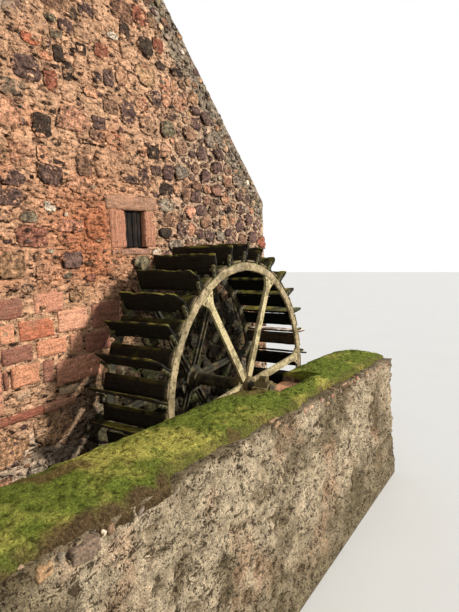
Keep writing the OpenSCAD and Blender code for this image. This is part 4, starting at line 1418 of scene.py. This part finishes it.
def moss_lumps(rng):
    """Ragged cushions of moss at the feet of the floats that look up, most of them near the rims."""
    form = Form()
    near, all_over = (wheel_front + 0.01, wheel_front + 0.16), (wheel_front + 0.2, wheel_back - 0.05)
    for i in range(FLOATS):
        for _ in range(int(round(5 * math.sin(float_angle(i))))):
            y = rng.uniform(*(near if rng.random() < 0.6 else all_over))
            along, across = rng.uniform(-0.02, 0.10), rng.uniform(-0.05, 0.05)
            half = np.array([rng.uniform(0.015, 0.035), rng.uniform(0.02, 0.05), rng.uniform(0.012, 0.03)])
            centre = np.array([along, y, across])
            shade = rng.uniform(0.55, 1.1)
            worn_block(form, centre - half, centre + half, half / 2, 0.02, 0.014, 0.03, i, foot_bend(i),
                       tint=moss_and_lit_tops(ink(52, 54, 24) * shade, ink(128, 126, 52) * shade))
    return form


place(moss_lumps(np.random.default_rng(5)), "moss_lumps", tinted_iron, "lichened_iron", body="wheel")

ARM_TURN, ARM_T, ARM_BOLT_R, ARM_BOLT_APART = math.radians(3.4), 0.036, 1.55, 0.075
ARM_IN = (RIM_T - ARM_T) / 2  # the arms lie in the middle of the rim's thickness
arm_bolts = Form()
# The bolts of the back arms are painted in shade as well.
for sign, face, colour in ((-1, wheel_front + ARM_IN, PALE), (1, wheel_back - ARM_IN, SHADED_BACK_IRON)):
    for k, apart in itertools.product(range(6), (-ARM_BOLT_APART, ARM_BOLT_APART)):
        turn = ARM_TURN + k * math.pi / 3 + apart / ARM_BOLT_R
        centre = (axle[0] + ARM_BOLT_R * math.cos(turn), face, axle[2] + ARM_BOLT_R * math.sin(turn))
        bolt(arm_bolts, centre, sign, 0.018, 0.016, colour)
place(arm_bolts, "arm_bolts", tinted_iron, "lichened_iron", body="wheel")

# %% [markdown]
# Floats and sole boards are thick sawn planks. A plank starts as a worn box. Its tip is then drawn in where
# rot and ice have eaten it, more at the corners that the photograph shows gone. The wood is black with
# water and with painted shade, green where moss has settled, and one plank is newer, with a bleached top
# that also carries painted sunlight.

# %% Floats and sole boards
ROTTED = {10: (0.13, 0.07), 11: (0.12, 0.09), 13: (0.11, 0.08)}  # length and depth of a float's lost corner
# The new float's top is pale: bleached wood with a painted sunlit edge.
NEW_FLOAT, BLEACHED_AND_LIT = 1, ink(255, 236, 218)
PLANK_CELL, SOLE_CELL = np.array([0.040, 0.040, 0.012]), (0.012, 0.055, 0.05)
SOLE_W, SOLE_T = 0.22, 0.03
sole_turn = math.atan((SOLE_W / 2 + FLOAT_T / 2 / math.cos(LEAN) + SOLE_T * math.tan(LEAN) + 0.001) / RIM_R)


def float_bend(index):
    """Wears the tip and the ends of a float, takes off its lost corner and turns it to its foot."""
    turn = foot_bend(index)

    def worn(points):
        along, y, across = points.T.copy()
        line = np.stack([0 * y, y, 0 * y + index], -1)
        lost = 0.022 * step(rough(line, 0.14, 71), -0.1, 1.2)
        lost = lost + 0.012 * step(lattice_noise(line, 0.035, 73), 0.2, 1)
        if index in ROTTED:
            length, depth = ROTTED[index]
            lost = lost + depth * (1 - step(y - wheel_front, 0.2 * length, 1.1 * length))
        side = np.stack([along, 0 * y, 0 * y + index], -1)
        inward = 0.016 * step(rough(side, 0.09, 75), -0.3, 1.0)
        middle = (wheel_front + wheel_back) / 2
        y = y - np.sign(y - middle) * inward * (np.abs(y - middle) > 0.46)
        return turn(np.stack([along * (1 - lost / FLOAT_H * (along > 0)), y, across], -1))

    return worn


def sole_bend(angle):
    """Turns a block's points (outwards, along the axle, round the wheel) by an angle about the axle."""

    def turn(points):
        r, y, t = points.T
        x, z = r * np.cos(angle) - t * np.sin(angle), r * np.sin(angle) + t * np.cos(angle)
        return np.stack([axle[0] + x, y, axle[2] + z], -1)

    return turn


def wood_and_shade_colour(index, rng):
    """Colour of a plank: near black, which is painted shade on the faces turned from the light, brown on the
    lowest floats, warmer on the new one.
    """
    brown = rng.random() if index < 13 else 0.9
    # Painted shade: the planks are made near black for their faces turned from the light.
    colour = mixed(ink(14, 18, 9), ink(32, 25, 16), brown) * rng.uniform(0.6, 1.05)
    return ink(96, 76, 58) if index == NEW_FLOAT else colour


def sawn_end(tint):
    """The same mark with the sawn ends of a board bleached pale."""
    return lambda points, way: mixed(tint(points, way), ink(150, 130, 98), 0.8 * step(-way[:, 1], 0.5, 0.9))


floats, soles = Form(), Form()
float_low, float_high = (0, wheel_front, -FLOAT_T / 2), (FLOAT_H, wheel_back, FLOAT_T / 2)
sole_low = (RIM_R + SEAT, wheel_front + 0.004, -SOLE_W / 2 + 0.003)
sole_high = (RIM_R + SOLE_T, wheel_back - 0.004, SOLE_W / 2 - 0.003)
for i in range(FLOATS):
    colour = wood_and_shade_colour(i, rng)
    tint = moss_and_lit_tops(colour, BLEACHED_AND_LIT) if i == NEW_FLOAT else moss_and_lit_tops(colour)
    worn_block(floats, float_low, float_high, PLANK_CELL, 0.009, 0.005, 0.05, i, float_bend(i), tint=tint)
    worn_block(soles, sole_low, sole_high, SOLE_CELL, 0.007, 0.004, 0.06, i,
               sole_bend(float_angle(i) - sole_turn), tint=sawn_end(moss_and_lit_tops(colour * 0.9, share=0.35)))


def wet_wood():
    """Wet boards: grain drawn out along the axle, dark stains, and specks of moss."""
    f = Finish("wet_mossy_boards", 0.6, 0.95, specular=0.18)
    grain = f.noise(50.0, 5.0, stretch=(1, 0.06, 1), roughness=0.7)
    growth = f.noise(7.0, 6.0, roughness=0.65)
    colour = f.shade(f.mark("tint"), grain, 0.34, 0.66, 0.5, 1.6)
    colour = f.lerp(colour, ink(30, 34, 16), f.slope(growth, 0.52, 0.68, 0, 0.6))
    colour = f.lerp(colour, ink(70, 72, 32), f.slope(f.noise(26.0, 4.0), 0.64, 0.76, 0, 0.5))
    return f.done(colour, f.sum(grain, f.times(growth, 0.6)), 0.006)


wood_finish = wet_wood()
place(floats, "float_planks", wood_finish, "wet_timber", ["float_boards"], "wheel")
place(soles, "sole_planks", wood_finish, "wet_timber", ["sole_boards"], "wheel")

# %% [markdown]
# The pit wall is one closed form: its section, drawn up the outer face, over the top and down the inner
# face, is swept along its length. The outer face leans back as it rises. A seat is let into the top for the
# pad stone.

# %% Pit wall
pit_low, pit_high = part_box("pit_wall")
pad_low, pad_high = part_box("pad_stone")
cap_low, cap_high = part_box("earth_capping")
PIT_DROP, PIT_T, BATTER = 0.36, 1.0, 0.12  # fall of the top from end to end, thickness, lean of the face
JOG_X = -2.96  # left of this the turf hangs over the edge, right of it the lime runs up to the turf
FACE_ROWS, TOP_ROWS, INNER_ROWS, PIT_COLUMNS = 88, 18, 22, 306
pit_top_y = pit_high.y - PIT_T


def pit_top(x):
    """Level of the pit wall's top, falling to the right."""
    return pit_high.z - (np.asarray(x, float) - pit_low.x) * PIT_DROP / (pit_high.x - pit_low.x)


def at_pad(x, margin):
    """1 along the pad stone and 0 past a margin on both sides."""
    return step(x, pad_low.x - margin, pad_low.x) * (1 - step(x, pad_high.x, pad_high.x + margin))


def pit_lean(u, z):
    """How far the frame's outer face stands before its top line."""
    return BATTER * (1 - z / pit_top(u))


def pit_bumps(u, z):
    """Slow bulges, broken slabs and rough lime over that face, none at the foot."""
    points = np.stack(np.broadcast_arrays(u, 0.0, z), -1)
    long = points * (1, 1, 1.8)
    slabs = step(rough(long, 0.30, 85, 2), -0.15, 0.25) - step(rough(long, 0.16, 88, 2), 0.25, 0.55)
    bumps = 0.030 * lattice_noise(points, 0.7, 83) + 0.024 * slabs + 0.020 * rough(long, 0.085, 87, 3)
    return bumps * step(z, 0, 0.12)


def pit_lime(u, z):
    """Colour of the pit wall's lime: pale, with dirty and orange patches, painted shade where the face lies
    back, a darker band under the top, and darker and greener below.
    """
    u, z = np.broadcast_arrays(u, z)
    points = np.stack([u, 0 * u, z], -1)
    colour = mixed(ink(214, 193, 160), ink(146, 129, 100), step(rough(points, 0.6, 91, 4), -0.1, 1.0))
    # Painted shade where the face lies back.
    hollow_shade = 1 - step(pit_bumps(u, z), -0.036, 0.004)
    colour = mixed(colour, ink(104, 86, 58), 0.75 * hollow_shade)
    colour = mixed(colour, ink(204, 160, 126), 0.5 * step(rough(points, 0.5, 93), 0.3, 1.0))
    colour = mixed(colour, ink(112, 100, 70), 0.7 * (1 - step(z + 0.3 * rough(points, 0.4, 95), 0.1, 1.2)))
    # A darker band just under the top.
    top_band = 1 - step(pit_top(u) - z + 0.06 * rough(points, 0.12, 97), 0.0, 0.10)
    return mixed(colour, ink(112, 96, 66), 0.7 * top_band)


def pit_form():
    """The pit wall as a swept section: outer face, top with the pad's seat, inner face, and flat foot."""
    x = np.linspace(pit_low.x, pit_high.x, PIT_COLUMNS)[:, None]
    top = pit_top(x)
    face_z = np.linspace(0, 1, FACE_ROWS)[None] * top
    face = pit_top_y - pit_lean(x, face_z) - pit_bumps(x, face_z)
    over = np.linspace(0, 1, TOP_ROWS + 1)[None, 1:]
    over_y = pit_top_y + over * (pit_high.y - pit_top_y) + 0 * x
    seat = at_pad(x, 0.03) * step(over_y, pad_low.y - 0.03, pad_low.y)
    crumble = 0.02 * step(rough(np.stack(np.broadcast_arrays(x, over_y, 0 * x), -1), 0.2, 99), -0.5, 1.0)
    over_z = top - seat * (top - pad_low.z) - crumble * (1 - seat)
    down = np.linspace(0, 1, INNER_ROWS + 1)[None, 1:]
    inner_z = over_z[:, -1:] * (1 - down)
    inner_points = np.stack(np.broadcast_arrays(x, 1.0, inner_z), -1)
    inner_y = pit_high.y + 0.012 * rough(inner_points, 0.2, 101) * step(inner_z, 0, 0.1) + 0 * x
    rows_y = np.concatenate([face, over_y, inner_y], 1)
    rows_z = np.concatenate([face_z, over_z, inner_z], 1)
    points = np.stack(np.broadcast_arrays(x, rows_y, rows_z), -1)
    around = points.shape[1]
    quads = sheet_quads(PIT_COLUMNS, around, close_columns=True)
    first = np.arange(around)
    last = (PIT_COLUMNS - 1) * around + first
    count = PIT_COLUMNS * around
    tris = np.concatenate([fan(first, count)[:, ::-1], fan(last, count + 1)])
    points = np.concatenate([points.reshape(-1, 3), points[[0, -1]].mean(1)])
    form = Form()
    form.add(points, quads, tris, lime=pit_lime(points[:, 0], points[:, 2]))
    return form


place(pit_form(), "pit_wall_masonry", coat_finish, "limed_rubble", ["pit_wall"])

# %% [markdown]
# Along the outer edge of the wall's head some stones have lost their lime: a few at the near end, placed as
# the photograph has them, and a run of small ones at the far end.

# %% Stones along the pit wall's edge
# Left and right limit of each stone, its height, how far its head lies under the wall's, and its tint.
EDGE_STONES = [
    (-4.48, -4.22, 0.13, 0.00, "buff"), (-4.19, -4.07, 0.13, 0.01, "tan"), (-4.06, -3.99, 0.15, 0.01, "grey"),
    (-3.98, -3.74, 0.14, 0.01, "olive"), (-3.73, -3.67, 0.07, 0.02, "chalk"),
    (-3.66, -3.58, 0.08, 0.02, "brown"), (-3.40, -3.30, 0.06, 0.02, "grey"),
    (-3.20, -2.99, 0.05, 0.03, "rose"), (-1.30, -1.08, 0.08, 0.00, "buff"),
]

FAR_STONES = np.arange(-0.6, 2.8, 0.11)  # left limits of the small stones at the far end


def far_stone(x, rng):
    """A small stone at the far end, drawn at random in the same order of values."""
    kinds = ["rose", "tan", "buff", "buff", "grey"]
    right, high, drop = x + rng.uniform(0.05, 0.12), rng.uniform(0.03, 0.09), rng.uniform(-0.01, 0.06)
    return x, right, high, drop, rng.choice(kinds)


edge_rng = np.random.default_rng(8)
edge_stones = EDGE_STONES + [far_stone(x, edge_rng) for x in FAR_STONES]
edge_form = Form()
for k, (x0, x1, high, drop, kind) in enumerate(edge_stones):
    top = float(pit_top(x0)) - drop
    face = pit_top_y - float(pit_lean(x0, top - high / 2)) - float(pit_bumps(x0, top - high / 2))
    worn_block(edge_form, (x0, face - 0.02, top - high), (x1, face + 0.10, top), 0.022, 0.026, 0.016, 0.06, k,
               tint=stone_tint(kind, edge_rng, 0.1))
place(edge_form, "pit_edge_stones", sandstone_finish, "limed_rubble")

# %% [markdown]
# Earth has settled on the pit wall and moss and short turf have closed over it. The mound is a height over
# the wall's top, arched across, rough with tussocks, and broken at its outer edge where brown earth shows.
# Its colour is worked out at each point, from yellow moss on the dry crown to olive in the hollows, darkened
# there as painted shade.

# %% Mound of mossy earth
CAP_ROWS, CAP_COLUMNS, CAP_H = 56, 440, 0.11


def mound():
    """An arched sheet full of tussocks, whose rows run along the wall at a height over its top."""
    x = np.linspace(cap_low.x, cap_high.x, CAP_COLUMNS)[None]
    s = np.linspace(0, 1, CAP_ROWS)[:, None]
    flat = np.stack(np.broadcast_arrays(x, 0.0, 0.0), -1)
    hang = 1 - step(x, JOG_X - 0.12, JOG_X + 0.08)
    outer = cap_low.y - 0.03 - 0.12 * hang + 0.04 * rough(flat, 0.35, 103) + 0.012 * rough(flat, 0.05, 104)
    seat = at_pad(x, 0.05) * (cap_high.y - pad_low.y + 0.03)
    inner = cap_high.y + 0.01 - seat + 0.012 * rough(flat, 0.2, 105)
    y = outer + s * (inner - outer)
    ground = np.stack(np.broadcast_arrays(x, y, 0.0), -1)
    clumps = rough(ground, 0.045, 109, 3)
    arch = np.clip(1 - (2 * s - 1) ** 2, 0, 1) ** np.where(s < 0.5, 0.26, 0.4)
    tussock = 0.020 * rough(ground, 0.30, 107, 2) + 0.013 * clumps
    z = pit_top(x) - 0.02 + arch * (CAP_H + tussock) - 0.045 * hang * (1 - step(s, 0.0, 0.10))
    edge = 1 - step(s + 0.05 * rough(ground, 0.15, 111), 0.05, 0.14)
    yellow = step(rough(ground, 0.45, 113) + 0.3 * rough(ground, 0.1, 114), 0.0, 1.1)
    tint = mixed(ink(126, 138, 54), ink(204, 194, 96), yellow)
    # Painted shade in the hollows between the tussocks.
    tint = mixed(tint, ink(66, 70, 26), 0.8 * step(-clumps, 0.3, 0.9))
    tint = mixed(tint, ink(124, 98, 62), 0.8 * step(rough(ground, 0.38, 116, 4), 0.45, 0.8))
    tint = mixed(tint, ink(104, 84, 56), np.clip(edge * (0.5 + 0.5 * hang), 0, 1))
    form = Form()
    form.add(np.stack(np.broadcast_arrays(x, y, z), -1), sheet_quads(CAP_ROWS, CAP_COLUMNS),
             tint=tint.reshape(-1, 3))
    return form.mesh("mound")


def turf():
    """Mossy earth: the mound's own colour, broken up by clumps and by a fine grain."""
    f = Finish("mossy_earth", 0.85, 1.0, specular=0.1)
    fine = f.noise(150.0, 5.0, roughness=0.8)
    clump = f.noise(44.0, 5.0, roughness=0.75)
    colour = f.shade(f.mark("tint"), clump, 0.35, 0.66, 0.5, 1.55)
    colour = f.shade(colour, fine, 0.37, 0.64, 0.42, 1.75)
    return f.done(colour, f.sum(clump, f.times(fine, 0.8)), 0.03)


mound_mesh = close_sheet(mound(), 2, lambda point: float(pit_top(point.x)) - 0.05)
place(mound_mesh, "turf_mound", turf(), "mossy_earth", ["earth_capping"])

pad = Form()
worn_block(pad, pad_low, pad_high, 0.045, 0.02, 0.010, 0.12, 5, tint=stone_tint("light", rng))
place(pad, "pad_block", sandstone_finish, "dressed_stone", ["pad_stone"])

# %% [markdown]
# The pieces of the frame that show as they are get a finish too: the arms, hubs, axle and bearings in iron,
# the slabs of the walls in masonry drawn by cells alone, and the floor and roof slabs within.

# %% Finishes of the frame's own pieces


def plain_masonry():
    """Masonry of the slabs in the walls: random cells as stones, and pale lime where two cells meet."""
    f = Finish("inner_masonry")
    stones = f.cells(5.0, "DISTANCE_TO_EDGE", stretch=(1, 1, 1.5))
    colour = f.shade(ink(150, 118, 92), f.noise(3.0), 0.3, 0.7, 0.7, 1.2)
    colour = f.lerp(ink(196, 164, 132), colour, f.slope(stones, 0.02, 0.07))
    return f.done(colour, f.sum(f.slope(stones, 0.0, 0.1), f.noise(30.0)), 0.02)


def flags():
    """Worn flagstones: broad cells, with dark gaps where two of them meet."""
    f = Finish("worn_flags")
    gaps = f.cells(2.2, "DISTANCE_TO_EDGE")
    colour = f.shade(ink(150, 140, 124), f.noise(9.0), 0.3, 0.7, 0.75, 1.15)
    return f.done(f.lerp(ink(70, 64, 56), colour, f.slope(gaps, 0.01, 0.04)), gaps, 0.01)


def slab_boards():
    """Roof slabs: brown, with a grain drawn out along the building."""
    f = Finish("rough_slab")
    grain = f.noise(40.0, 4.0, stretch=(1, 0.06, 1))
    return f.done(f.lerp(ink(60, 46, 34), ink(120, 98, 74), f.slope(grain, 0.35, 0.65)), grain, 0.003)


DRESS = {
    plain_masonry(): ("rubble_stone", ["wheel_gable_left", "wheel_gable_right", "wheel_gable_under_window",
                      "wheel_gable_top", "back_gable_left", "back_gable_right", "back_gable_under_door",
                      "back_gable_top", "left_side_wall", "right_side_wall"]),
    flags(): ("stone_flags", ["ground_floor"]),
    slab_boards(): ("clay_tile", ["roof_left_slope", "roof_right_slope"]),
    pale_iron: ("lichened_iron", ["front_arms"]),
    mossy_iron: ("rusty_iron", ["front_hub", "bearing_block", "bearing_cap"]),
    # Painted shade: the back hub, the axle, the wall bearing and the back arms.
    shaded_iron: ("rusty_iron", ["back_hub", "axle", "wall_bearing", "back_arms"]),
}
for finish, (slot_name, names) in DRESS.items():
    for name in names:
        node = frame["nodes"][name]
        node.data.materials.clear()
        node.data.materials.append(finish)
    print(finish.name, "on", len(names))

# %% [markdown]
# A plain room of soft light: a large low sun from the front right, and a pale dome for the rest. Rays that
# reach the background from the camera, from a mirror or through glass see white.

# %% Light, floor and camera
SUN_WAY = Vector((0.6, -1.0, 0.5))
SUN_POWER, SUN_COLOUR, SUN_WIDE = 3.9, (1.0, 0.965, 0.91), math.radians(5)
DOME_POWER, DOME_COLOUR = 0.50, (0.94, 0.97, 1.0, 1)
FLOOR_HALF = 60.0


def linked(name, data):
    """Puts an object of the scene's own, a lamp, the camera or the floor, into the scene."""
    made = bpy.data.objects.new(name, data)
    bpy.context.scene.collection.objects.link(made)
    return made


def make_world():
    """The pale dome, and white where a ray from the camera, a mirror or glass reaches the background."""
    world = bpy.data.worlds.new("studio")
    world.use_nodes = True
    tree = world.node_tree
    tree.nodes.clear()
    path = tree.nodes.new("ShaderNodeLightPath")
    white = tree.nodes.new("ShaderNodeBackground")
    white.inputs["Color"].default_value = (1, 1, 1, 1)
    pale = tree.nodes.new("ShaderNodeBackground")
    pale.inputs["Color"].default_value = DOME_COLOUR
    pale.inputs["Strength"].default_value = DOME_POWER
    seen = path.outputs["Is Camera Ray"]
    for other in ("Is Glossy Ray", "Is Transmission Ray"):
        either = tree.nodes.new("ShaderNodeMath")
        either.operation = "MAXIMUM"
        tree.links.new(seen, either.inputs[0])
        tree.links.new(path.outputs[other], either.inputs[1])
        seen = either.outputs[0]
    mix = tree.nodes.new("ShaderNodeMixShader")
    tree.links.new(seen, mix.inputs[0])
    tree.links.new(pale.outputs[0], mix.inputs[1])
    tree.links.new(white.outputs[0], mix.inputs[2])
    out = tree.nodes.new("ShaderNodeOutputWorld")
    tree.links.new(mix.outputs[0], out.inputs["Surface"])
    bpy.context.scene.world = world


make_world()
sun = bpy.data.lights.new("sun", "SUN")
sun.energy, sun.angle, sun.color = SUN_POWER, SUN_WIDE, SUN_COLOUR
linked("sun", sun).rotation_euler = SUN_WAY.to_track_quat("Z", "Y").to_euler()

floor_form = Form()
floor_form.add(FLOOR_HALF * np.array([(-1, -1, 0), (1, -1, 0), (1, 1, 0), (-1, 1, 0)]), [(0, 1, 2, 3)])
floor_mesh = floor_form.mesh("floor")
floor_finish = Finish("pale_floor", 0.9, 0.95)
floor_colour = floor_finish.shade(ink(236, 235, 232), floor_finish.noise(0.6), 0.3, 0.7, 0.98, 1.0)
floor_mesh.materials.append(floor_finish.done(floor_colour))
floor = linked("floor", floor_mesh)

CAMERA_PLACE = Vector((-5.716, -5.031, 4.124))
CAMERA_YAW, CAMERA_PITCH, CAMERA_ROLL = (math.radians(a) for a in (56.774, -6.902, -1.989))
FOCAL_PX, LONG_SIDE_PX = 497.3, 612
ahead = Vector((math.sin(CAMERA_YAW) * math.cos(CAMERA_PITCH), math.cos(CAMERA_YAW) * math.cos(CAMERA_PITCH),
                math.sin(CAMERA_PITCH)))
level = Vector((math.cos(CAMERA_YAW), -math.sin(CAMERA_YAW), 0))
upward = level.cross(ahead)
right = level * math.cos(CAMERA_ROLL) + upward * math.sin(CAMERA_ROLL)
top = upward * math.cos(CAMERA_ROLL) - level * math.sin(CAMERA_ROLL)
camera = bpy.data.cameras.new("camera")
camera.sensor_width = 36.0
camera.lens = FOCAL_PX / LONG_SIDE_PX * camera.sensor_width
camera_object = linked("camera", camera)
turned = Matrix((right, top, -ahead)).transposed().to_4x4()
camera_object.matrix_world = Matrix.Translation(CAMERA_PLACE) @ turned
bpy.context.scene.camera = camera_object
bpy.context.scene.view_settings.view_transform = "Standard"
print("camera looks along", [round(v, 3) for v in ahead])
